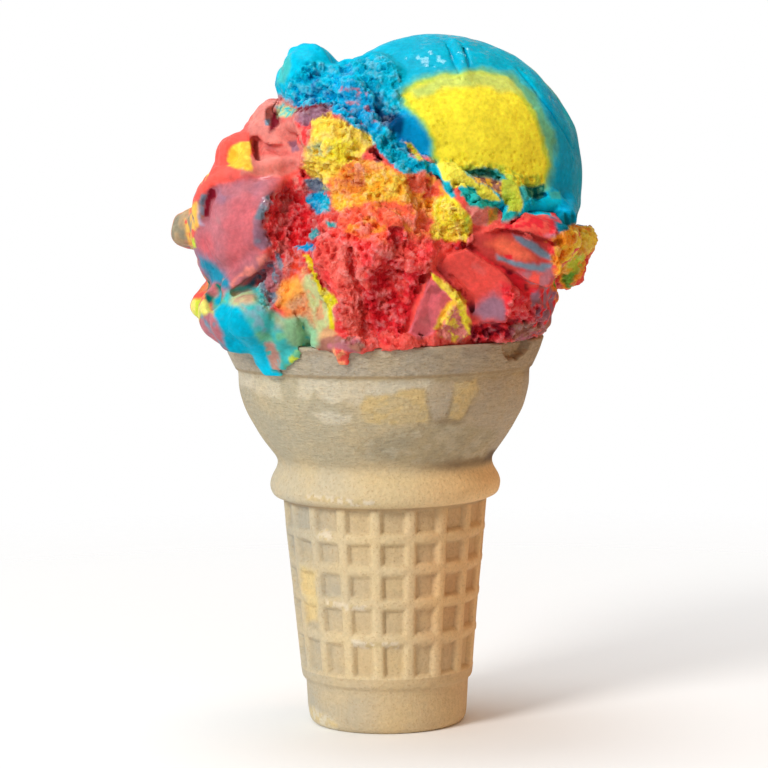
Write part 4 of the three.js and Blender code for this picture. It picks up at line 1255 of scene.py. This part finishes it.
def ice_cream_material(name):
    nodes = Nodes(name)
    tint = nodes.attribute("tint").outputs["Color"]
    crumbly = nodes.attribute("crumbly").outputs["Fac"]
    wet = nodes.attribute("wet").outputs["Fac"]
    pitted = nodes.attribute("pitted").outputs["Fac"]
    fine = nodes.noise(0.9, 4.0, 0.6)
    specks = nodes.noise(0.35, 2.0, 0.5, 0.02)
    patches = nodes.noise(5.0, 3.0, 0.5, 0.05)
    grains = nodes.cells(0.62, 0.01)
    small_grains = nodes.cells(0.34, 0.03)
    # Painted shade: the gaps between the grains of crumbly places are darkened
    gaps = nodes.math("MULTIPLY", nodes.spread(grains, 0.4, 0.8, 0.0, 0.4), crumbly)
    gap_shade_colour = nodes.mix(1.0, tint, (0.84, 0.62, 0.68, 1), "MULTIPLY")
    gap_shaded = nodes.mix(gaps, tint, gap_shade_colour)
    lighter = nodes.spread(fine, 0.35, 0.7, 0.86, 1.12)
    # Painted shade in the pits of the yellow patch
    holes = nodes.math("MULTIPLY", nodes.spread(nodes.cells(1.15, 0.05), 0.2, 0.42, 1.0, 0.0), pitted)
    pit_shade_colour = nodes.mix(1.0, tint, (0.8, 0.76, 0.4, 1), "MULTIPLY")
    pit_shaded = nodes.mix(nodes.math("MULTIPLY", holes, 0.6), gap_shaded, pit_shade_colour)
    nodes.put(nodes.shader, "Base Color", nodes.mix(1.0, pit_shaded, lighter, "MULTIPLY"))
    smooth_skin = nodes.spread(patches, 0.35, 0.65, 0.24, 0.46)
    glazed = nodes.blend_values(wet, smooth_skin, 0.1)
    dry = nodes.spread(specks, 0.3, 0.7, 0.42, 0.62)
    nodes.put(nodes.shader, "Roughness", nodes.blend_values(crumbly, glazed, dry))
    broad = nodes.bump(nodes.noise(1.6, 3.0, 0.6, 0.03), 0.25, 0.5)
    strength = nodes.spread(crumbly, 0.0, 1.0, 0.12, 0.5)
    grain = nodes.bump(fine, strength, 0.45, broad)
    rounded = nodes.spread(grains, 0.0, 0.9, 1.0, 0.0)
    lumps = nodes.bump(rounded, nodes.math("MULTIPLY", crumbly, 0.8), 0.3, grain)
    tiny = nodes.spread(small_grains, 0.0, 0.9, 1.0, 0.0)
    dots = nodes.bump(tiny, nodes.spread(crumbly, 0.0, 1.0, 0.05, 0.6), 0.13, lumps)
    sunk = nodes.bump(nodes.spread(holes, 0.0, 1.0, 1.0, 0.0), 0.5, 0.2, dots)
    nodes.put(nodes.shader, "Normal", nodes.bump(specks, 0.12, 0.12, sunk))
    nodes.put(nodes.shader, "Coat Weight", nodes.spread(wet, 0.0, 1.0, 0.0, 0.9))
    nodes.shader.inputs["Subsurface Weight"].default_value = 0.35
    nodes.shader.inputs["Subsurface Radius"].default_value = (1.0, 0.7, 0.6)
    nodes.shader.inputs["Subsurface Scale"].default_value = 1.2 * MM
    nodes.shader.inputs["IOR"].default_value = 1.2
    nodes.shader.inputs["Specular IOR Level"].default_value = 0.14
    nodes.shader.inputs["Coat Roughness"].default_value = 0.12
    return nodes.material


def colour_of(red, green, blue):
    return (*[float(value) for value in linear(red, green, blue)], 1.0)


def wafer_material(name):
    nodes = Nodes(name)
    tint = nodes.attribute("tint").outputs["Color"]
    film = nodes.attribute("film").outputs["Fac"]
    scratched = nodes.attribute("scratched").outputs["Fac"]
    blotch = nodes.noise(9.0, 5.0, 0.6)
    fine = nodes.noise(0.8, 4.0, 0.6, 0.01)
    pits = nodes.noise(0.45, 2.0, 0.5, 0.04)
    torn_edge = nodes.noise(7.0, 6.0, 0.6, 0.09)
    scratches = nodes.noise(1.6, 4.0, 0.65, 0.06, (1.0, 1.0, 3.5), (0.0, 0.7, 0.0))
    skin = nodes.math("MULTIPLY", nodes.spread(torn_edge, 0.46, 0.52, 0.0, 1.0), film)
    toasted = nodes.mix(nodes.spread(blotch, 0.42, 0.68, 0.0, 0.35), tint, colour_of(214, 184, 128))
    covered = nodes.mix(nodes.math("MULTIPLY", skin, 0.5), toasted, colour_of(222, 214, 194))
    freckled = nodes.mix(nodes.spread(pits, 0.58, 0.72, 0.0, 0.4), covered, colour_of(160, 122, 78))
    lines = nodes.spread(scratches, 0.32, 0.66, 0.76, 1.12)
    streaked = nodes.mix(scratched, freckled, nodes.mix(1.0, freckled, lines, "MULTIPLY"))
    lighter = nodes.spread(fine, 0.3, 0.7, 0.9, 1.08)
    nodes.put(nodes.shader, "Base Color", nodes.mix(1.0, streaked, lighter, "MULTIPLY"))
    nodes.put(nodes.shader, "Roughness", nodes.spread(skin, 0.0, 1.0, 0.72, 0.6))
    edge = nodes.bump(skin, 0.6, 0.15)
    dragged = nodes.bump(scratches, nodes.math("MULTIPLY", scratched, 0.9), 0.5, edge)
    wrinkles = nodes.noise(2.6, 5.0, 0.7, 0.11, (0.6, 0.6, 2.2), (0.0, -0.25, 0.0))
    creased = nodes.bump(wrinkles, nodes.math("MULTIPLY", scratched, 0.9), 0.7, dragged)
    grain = nodes.bump(fine, 0.6, 0.35, creased)
    nodes.put(nodes.shader, "Normal", nodes.bump(pits, 0.5, 0.15, grain))
    nodes.shader.inputs["Subsurface Weight"].default_value = 0.08
    nodes.shader.inputs["Subsurface Radius"].default_value = (1.0, 0.6, 0.35)
    nodes.shader.inputs["Subsurface Scale"].default_value = 1.0 * MM
    return nodes.material


# Wafer cup

def smooth_rows(heights, radii, rows):
    """Points spaced evenly along a smooth curve through an outline."""
    table = np.array([radii, heights]).T
    ends = np.vstack([2 * table[0] - table[1], table, 2 * table[-1] - table[-2]])
    fine = []
    for i in range(1, len(ends) - 2):
        for share in np.linspace(0, 1, 12, endpoint=False):
            a, b, c, d = ends[i - 1], ends[i], ends[i + 1], ends[i + 2]
            fine.append(0.5 * (2 * b + (c - a) * share + (2 * a - 5 * b + 4 * c - d) * share ** 2
                               + (3 * b - a - 3 * c + d) * share ** 3))
    fine.append(table[-1])
    fine = np.array(fine)
    along = np.concatenate([[0], np.cumsum(np.hypot(*np.diff(fine, axis=0).T))])
    places = np.linspace(0, along[-1], rows)
    return np.stack([np.interp(places, along, fine[:, 0]), np.interp(places, along, fine[:, 1])], 1)


def cup_outline():
    """Rows of radius and height from the foot to the floor inside, and 1 for each row of the waffle stem."""
    foot = smooth_rows(FOOT_HEIGHTS, FOOT_RADII, FOOT_ROWS)
    stem_heights = np.linspace(STEM_START, LEDGE_HEIGHT - 0.15, STEM_ROWS)
    stem_radii = np.interp(stem_heights, [FOOT_HEIGHT, LEDGE_HEIGHT], [STEM_FOOT_RADIUS, STEM_TOP_RADIUS])
    bowl_heights = [LEDGE_HEIGHT] + BOWL_HEIGHTS[1:-1] + [77.5]
    bowl_radii = [20.9] + BOWL_RADII[1:-1] + [RIM_RADIUS]
    bowl = smooth_rows(bowl_heights, bowl_radii, BOWL_ROWS)
    lip = np.array([
        [RIM_RADIUS - 0.12, 77.8], [RIM_RADIUS - 0.5, RIM_HEIGHT],
        [RIM_RADIUS - WALL + 0.5, RIM_HEIGHT], [RIM_RADIUS - WALL + 0.1, 77.7],
    ])
    inside = np.array([[radius - WALL, height + 0.4] for radius, height in
                       zip(BOWL_RADII[-2:3:-2], BOWL_HEIGHTS[-2:3:-2])])
    floor = np.array([[17.9, 45.6], [14.2, 10.2], [12.9, 2.6]])
    rows = np.concatenate([
        np.array([[12.0, 0.0]]), foot, np.stack([stem_radii, stem_heights], 1), bowl, lip, inside, floor,
    ])
    pattern = np.zeros(len(rows))
    first = 1 + len(foot)
    pattern[first:first + STEM_ROWS] = 1
    return rows, pattern


def rib_share(gap):
    """Height of a rounded rib, from 0 to 1, at a distance in mm from its middle."""
    return np.sqrt(np.clip(1 - (np.clip(np.abs(gap) - 0.25, 0, None) / 1.1) ** 2, 0, 1))


def wafer_points():
    rows, pattern = cup_outline()
    angles = np.linspace(0, 2 * math.pi, CUP_COLUMNS, endpoint=False)
    radius = np.repeat(rows[:, 0], CUP_COLUMNS)
    height = np.repeat(rows[:, 1], CUP_COLUMNS)
    waffled = np.repeat(pattern, CUP_COLUMNS)
    angle = np.tile(angles, len(rows))
    round_place = np.stack([radius * np.sin(angle), -radius * np.cos(angle), height], 1)
    uneven = wavy(round_place, 8.0, 2)
    pitch = 360 / RIB_COUNT
    turn = (np.degrees(angle) - RIB_START_DEGREES + pitch / 2) % pitch - pitch / 2
    upright = rib_share(np.radians(turn) * radius + 0.15 * uneven)
    cross = np.zeros(len(radius))
    for rib_height in CROSS_RIB_HEIGHTS:
        cross = np.maximum(cross, rib_share(height - rib_height + 0.2 * uneven))
    stem_foot = soft_step(-height, -12.3, -11.5)
    stem_top = soft_step(height, LEDGE_HEIGHT - 0.5, LEDGE_HEIGHT - 0.1)
    raised = np.maximum.reduce([upright, cross, stem_foot, stem_top])
    sunk = waffled * (1 - raised) * (RIB_RELIEF + 0.12 * wavy(round_place, 5.0, 6))
    outer_rows = 1 + FOOT_ROWS + STEM_ROWS + BOWL_ROWS
    outward = np.repeat((np.arange(len(rows)) < outer_rows).astype(float), CUP_COLUMNS)
    waver = outward * (0.10 * wavy(round_place, 11.0, 1) + 0.05 * wavy(round_place, 3.0, 5))
    waver *= soft_step(height, 0.2, 2.0)
    radius = radius - sunk + waver
    points = np.stack([radius * np.sin(angle), -radius * np.cos(angle), height], 1)
    return chipped(points), raised * waffled


def chip_depth(points):
    """1 where a piece of the rim broke off, 0 elsewhere."""
    angle = np.degrees(np.arctan2(points[:, 0], -points[:, 1]))
    across = np.radians(angle - CHIP_DEGREES) * RIM_RADIUS
    ragged = 0.5 * wavy(points, 1.6, 3)
    edge = np.hypot((across + ragged) / CHIP_HALF_LENGTH, (RIM_HEIGHT - points[:, 2] + ragged) / CHIP_DEPTH)
    outer = np.hypot(points[:, 0], points[:, 1]) > bowl_radius(points[:, 2]) - WALL * 0.7
    return soft_step(-edge, -1.0, -0.85) * outer


def chipped(points):
    """Sinks the outer skin of the rim where a piece broke out of it."""
    radius = np.hypot(points[:, 0], points[:, 1])
    scale = 1 - CHIP_SUNK * chip_depth(points) / np.maximum(radius, 1e-6)
    return points * np.stack([scale, scale, np.ones(len(points))], 1)


# Colours painted on the photographed side of the cup, in the manner of the ice cream's
FILM = linear(206, 196, 172)
FILM_SHADE = linear(186, 172, 148)
CRUST = linear(202, 182, 138)
OLIVE = linear(170, 158, 130)
FLAKE = linear(218, 204, 178)
CUP_PATCHES = {
    "flake ledge": (FLAKE, 2, [(303, 497), (312, 494), (330, 496), (352, 499), (372, 501), (380, 505),
        (356, 506), (330, 503), (308, 501)], CRUST, 0.8, -0.1),
    "flake one": (FLAKE, 3, [(317, 532), (326, 529), (333, 534), (330, 540), (318, 538)], CRUST, 0.8, 0.1),
    "flake two": (FLAKE, 2, [(326, 600), (344, 603), (366, 606), (366, 611), (340, 609), (326, 605)], CRUST,
        0.8, 0.1),
    "flake three": (FLAKE, 2, [(352, 640), (366, 643), (398, 642), (398, 648), (366, 649), (352, 646)],
        CRUST, 0.8, 0.1),
    "yellow crust": (linear(216, 192, 136), 8, [(300, 565), (316, 570), (318, 620), (308, 622),
        (302, 590)]),
    "foot film": (FILM, 7, [(306, 706), (322, 712), (338, 724), (334, 732), (312, 722)], CRUST, 1.2, 0.0),
    "film left": (FILM, 5, [(236, 372), (256, 375), (278, 377), (282, 400), (262, 395), (240, 386)]),
    "film middle": (FILM, 5, [(298, 379), (345, 381), (396, 381), (432, 380), (432, 392), (404, 388),
        (392, 396), (366, 396), (358, 408), (346, 402), (330, 404), (318, 396), (314, 388), (308, 400),
        (298, 398)]),
    "film low": (FILM, 4, [(312, 414), (330, 412), (352, 416), (350, 424), (326, 424)]),
    "film right": (FILM_SHADE, 4, [(430, 382), (456, 382), (450, 402), (446, 416), (434, 420), (428, 404)]),
    "film far right": (FILM_SHADE, 8, [(480, 380), (540, 372), (528, 420), (500, 450), (468, 446),
        (462, 424), (476, 400)]),
    "crust middle": (CRUST, 4, [(364, 394), (392, 396), (400, 388), (426, 390), (428, 422), (396, 424),
        (366, 422), (360, 408)], linear(212, 186, 130), 1.4, 0.1),
    "crust right": (CRUST, 4, [(454, 384), (476, 380), (480, 388), (470, 404), (462, 420), (448, 418),
        (454, 400)], linear(212, 186, 130), 1.4, 0.1),
    "olive": (OLIVE, 8, [(352, 448), (372, 438), (398, 428), (430, 424), (470, 424), (500, 430), (484, 456),
        (430, 464), (372, 462)], linear(184, 174, 148), 1.6, 0.2),
}


def wafer_attributes(points, raised):
    """Colour of the cup's points, painted light and shade included, and how filmy and scratched they are."""
    height = points[:, 2]
    side = points[:, 0] / 30
    wafer = np.tile(linear(200, 177, 137), (len(points), 1))

    def tint(colour, share):
        nonlocal wafer
        wafer = wafer * (1 - share[:, None]) + colour * share[:, None]

    # Sides for the painted light and shade: the lit left greyer, the right browner and darker
    to_right = soft_step(side + 0.25 * wavy(points, 16, 0), 0.1, 0.8)
    to_left = soft_step(-side + 0.2 * wavy(points, 12, 1), 0.0, 0.6)
    bowl = soft_step(height, 51, 56)
    ledge = soft_step(height, 45.4, 46.2) * (1 - bowl)
    # Painted light: stem and foot greyer on the left and browner and darker on the right, raised ribs
    # lighter as painted highlights
    tint(linear(166, 162, 148), 0.9 * to_left * (1 - bowl))
    tint(linear(222, 202, 160), raised * (0.6 - 0.35 * to_left))
    tint(linear(194, 134, 74), 0.68 * to_right * (1 - bowl))
    tint(linear(240, 198, 140), 0.6 * raised * to_right)
    # Painted light on the ledge: greyer on its left, brighter and warmer on its right
    tint(linear(220, 198, 152), 0.75 * ledge * (1 - to_left))
    tint(linear(204, 192, 164), 0.75 * ledge * to_left)
    tint(linear(252, 208, 146), 0.7 * ledge * to_right)
    tint(linear(192, 176, 142), bowl)
    # Painted light: the bowl greyer on its left, and darker and browner on its right as painted shade
    tint(linear(182, 172, 146), bowl * to_left)
    tint(linear(136, 106, 74), 0.7 * to_right * soft_step(height, 52, 54))
    tint(linear(84, 66, 46), 0.9 * to_right * soft_step(height, 52, 54) * soft_step(-height, -70, -62))
    # Painted shadow line under the step of the rim band
    step_shadow_line = soft_step(-np.abs(height - 72.1), -0.4, -0.1)
    # Painted shadow under the ledge's lip
    under_ledge_shadow = soft_step(height, 44.9, 45.3) * soft_step(-height, -45.9, -45.5)
    in_front = soft_step(-points[:, 1], -4, 2)
    wafer = painted(points, wafer, CUP_PATCHES, in_front * soft_step(-height, -72.4, -71.9))
    band = soft_step(height, 72.2, 72.7)
    tint(linear(188, 178, 160), band)
    # Painted shade: the rim band darker on its right
    tint(linear(170, 144, 112), 0.75 * band * to_right)
    tint(linear(138, 108, 74), 0.55 * step_shadow_line)
    tint(linear(150, 112, 70), 0.6 * under_ledge_shadow)
    toasted_lip = soft_step(wavy(points, 3.0, 1), 0.25, 0.6) * soft_step(height, 75.5, 77.4)
    tint(linear(150, 108, 68), 0.35 * band * toasted_lip)
    tint(linear(138, 94, 54), chip_depth(points))
    film = soft_step(height, 53, 60) * (1 - band) * (1 - in_front) * 0.9
    scratched = band + 0.6 * soft_step(height, 50, 56)
    return {"tint": wafer, "film": np.clip(film, 0, 1), "scratched": np.clip(scratched, 0, 1)}


def wafer_faces(points):
    rows = len(points) // CUP_COLUMNS
    index = np.arange(rows * CUP_COLUMNS).reshape(rows, CUP_COLUMNS)
    after = np.roll(index, -1, 1)
    return np.stack([index[:-1], after[:-1], after[1:], index[1:]], -1).reshape(-1, 4)


def closed_ends(points, faces):
    """Adds a middle point to the first and last rows and joins them to it."""
    low = points[:CUP_COLUMNS].mean(0)
    high = points[-CUP_COLUMNS:].mean(0)
    rows = len(points) // CUP_COLUMNS
    columns = np.arange(0, CUP_COLUMNS, 2)
    first, second, third = columns, (columns + 1) % CUP_COLUMNS, (columns + 2) % CUP_COLUMNS
    low_index = np.full(len(columns), len(points))
    high_index = low_index + 1
    last = (rows - 1) * CUP_COLUMNS
    bottom = np.stack([low_index, third, second, first], 1)
    top = np.stack([high_index, last + first, last + second, last + third], 1)
    return np.vstack([points, low, high]), np.concatenate([faces, bottom, top])


# Build the pieces

# Power of each channel that turns a colour into its painted shade in pits and hollows
PIT_SHADE_POWERS = np.array([1.15, 1.7, 1.5])


def build_scoop(name, node, distance_of, lumps, base, swirls, smoothness_of, low, high):
    """Makes a scoop's surface inside a box, with its fine relief and colours, in one object or more."""
    grid = sampled(distance_of, lambda points: mass_distance(points, lumps), low, high, GRID_STEP)
    points, faces = surface_net(grid, low, GRID_STEP)

    def finish(chunk):
        rough = roughness_of(chunk, smoothness_of)
        height, middles = fine_relief(chunk, rough)
        radius = np.hypot(chunk[:, 0], chunk[:, 1])
        height *= np.maximum(soft_step(chunk[:, 2], 77.6, 78.6), soft_step(radius, 32.4, 33.2))
        # Painted shade: colours darken and deepen in the pits of the relief and the hollows between lumps
        hollow = 0.75 * soft_step(-height, 0.0, 0.6)
        hollow = np.maximum(hollow, 0.8 * soft_step(-mass_distance(chunk, lumps), 0.2, 1.8))
        lookup = chunk + (0.3 * rough)[:, None] * (middles - chunk)
        colour = mottled(chunk, tinted(lookup, base, swirls, facing_of(chunk, lumps)))
        deep = (hollow * (0.2 + 0.8 * rough) * 0.9)[:, None]
        brightness = 0.68 + 0.28 * np.clip(2 * colour[:, 1:2], 0, 1)
        colour = colour * (1 - deep) + colour ** PIT_SHADE_POWERS * brightness * deep
        # Painted highlight: the tops of the crumbs are lightened
        crumb_top_highlight = (soft_step(height, 0.05, 0.5) * rough * 0.14)[:, None]
        colour = colour * (1 - crumb_top_highlight) + crumb_top_highlight
        return np.column_stack([height, rough, wetness_of(chunk), pits_of(chunk), colour])

    values = in_parallel(finish, points)
    points = points + normals_of(points, faces) * values[:, :1]
    attributes = {
        "crumbly": values[:, 1], "wet": values[:, 2], "pitted": values[:, 3], "tint": values[:, 4:7],
    }
    for piece in pieces_of(name, points, faces, attributes, ICE_CREAM):
        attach(piece, "root")
        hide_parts(node)


ICE_CREAM = ice_cream_material("swirled_ice_cream")
WAFER = wafer_material("baked_wafer")

build_scoop(
    "lower_scoop_ice_cream", "lower_scoop", lower_distance, LOWER_LUMPS, CORAL, LOWER_SWIRLS,
    nowhere_smooth, (-45.0, -38.0, 68.0), (45.0, 37.0, 127.0),
)
build_scoop(
    "upper_scoop_ice_cream", "upper_scoop", upper_distance, UPPER_LUMPS, CYAN, UPPER_SWIRLS,
    ball_smoothness, (-23.0, -31.0, 84.0), (42.0, 28.0, 140.0),
)


def build_cup():
    """Makes the wafer cup with its foot, waffle stem and bowl."""
    points, raised = wafer_points()
    faces = wafer_faces(points)
    whole, faces = closed_ends(points, faces)
    values = wafer_attributes(whole, np.concatenate([raised, [0, 0]]))
    for piece in pieces_of("wafer_cup_baked", whole, faces, values, WAFER):
        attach(piece, "root")
        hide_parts("wafer_cup")


build_cup()


# Floor, light and camera

def build_floor():
    """A pale floor that fades into the background well away from the cone."""
    mesh = bpy.data.meshes.new("floor")
    half = 4.0
    corners = [(-half, -half, 0), (half, -half, 0), (half, half, 0), (-half, half, 0)]
    mesh.from_pydata(corners, [], [(0, 1, 2, 3)])
    nodes = Nodes("pale_floor")
    nodes.shader.inputs["Base Color"].default_value = (0.95, 0.96, 0.97, 1)
    nodes.shader.inputs["Roughness"].default_value = 0.8
    place = nodes.add("ShaderNodeTexCoord").outputs["Object"]
    away = nodes.add("ShaderNodeVectorMath", {"operation": "LENGTH"})
    nodes.put(away, 0, place)
    fade = nodes.spread(away.outputs["Value"], 0.02, 0.32, 0.0, 1.0)
    clear = nodes.add("ShaderNodeBsdfTransparent")
    both = nodes.add("ShaderNodeMixShader")
    nodes.put(both, 0, fade)
    nodes.put(both, 1, nodes.shader.outputs[0])
    nodes.put(both, 2, clear.outputs[0])
    nodes.put(nodes.tree.nodes["Material Output"], "Surface", both.outputs[0])
    mesh.materials.append(nodes.material)
    floor = bpy.data.objects.new("floor", mesh)
    bpy.context.scene.collection.objects.link(floor)


def add_light(name, place, aim, size, power, colour):
    data = bpy.data.lights.new(name, "AREA")
    data.shape = "DISK"
    data.size = size
    data.energy = power
    data.color = colour
    light = bpy.data.objects.new(name, data)
    bpy.context.scene.collection.objects.link(light)
    away = np.array(place) - np.array(aim)
    light.location = place
    light.rotation_euler = (
        math.acos(away[2] / np.linalg.norm(away)), 0, math.atan2(away[1], away[0]) + math.pi / 2,
    )


def build_world():
    """A pale backdrop, and an even light on the cone that is dimmer and warmer on its right."""
    world = bpy.data.worlds.new("studio")
    world.use_nodes = True
    tree = world.node_tree
    ambient = tree.nodes["Background"]
    ambient.inputs["Strength"].default_value = AMBIENT
    place = tree.nodes.new("ShaderNodeTexCoord")
    parts = tree.nodes.new("ShaderNodeSeparateXYZ")
    ramp = tree.nodes.new("ShaderNodeMapRange")
    ramp.inputs["From Min"].default_value = -0.2
    ramp.inputs["From Max"].default_value = 0.8
    blend = tree.nodes.new("ShaderNodeMix")
    blend.data_type = "RGBA"
    blend.inputs[6].default_value = (0.95, 0.98, 1.0, 1)
    blend.inputs[7].default_value = (0.62, 0.36, 0.18, 1)
    shown = tree.nodes.new("ShaderNodeBackground")
    shown.inputs["Color"].default_value = (1.0, 1.0, 1.0, 1)
    seen = tree.nodes.new("ShaderNodeLightPath")
    both = tree.nodes.new("ShaderNodeMixShader")
    tree.links.new(place.outputs["Generated"], parts.inputs[0])
    tree.links.new(parts.outputs["X"], ramp.inputs["Value"])
    tree.links.new(ramp.outputs["Result"], blend.inputs[0])
    tree.links.new(blend.outputs[2], ambient.inputs["Color"])
    tree.links.new(seen.outputs["Is Camera Ray"], both.inputs[0])
    tree.links.new(ambient.outputs[0], both.inputs[1])
    tree.links.new(shown.outputs[0], both.inputs[2])
    tree.links.new(both.outputs[0], tree.nodes["World Output"].inputs["Surface"])
    bpy.context.scene.world = world


def build_light():
    build_world()
    middle = (0.0, 0.0, 0.09)
    add_light("key", (-0.75, -0.85, 0.75), middle, 0.4, KEY_POWER, (1.0, 0.98, 0.94))
    add_light("warm_side", (0.9, 0.1, 0.3), middle, 0.6, WARM_POWER, (1.0, 0.6, 0.3))
    add_light("top", (-0.1, 0.15, 1.0), middle, 0.5, TOP_POWER, (0.95, 0.98, 1.0))
    bpy.context.scene.view_settings.view_transform = "Standard"


def build_camera():
    data = bpy.data.cameras.new("camera")
    data.sensor_width = 36.0
    data.lens = 36.0 * FOCAL_PIXELS / PICTURE_SIZE
    data.clip_start = 0.01
    data.clip_end = 50.0
    camera = bpy.data.objects.new("camera", data)
    bpy.context.scene.collection.objects.link(camera)
    place = Matrix.Translation((0, -CAMERA_DISTANCE * MM, CAMERA_HEIGHT * MM))
    tilt = Matrix.Rotation(math.radians(90 - CAMERA_TILT), 4, "X")
    roll = Matrix.Rotation(math.radians(-CAMERA_ROLL), 4, "Z")
    camera.matrix_world = place @ tilt @ roll
    bpy.context.scene.camera = camera


build_floor()
build_light()
build_camera()
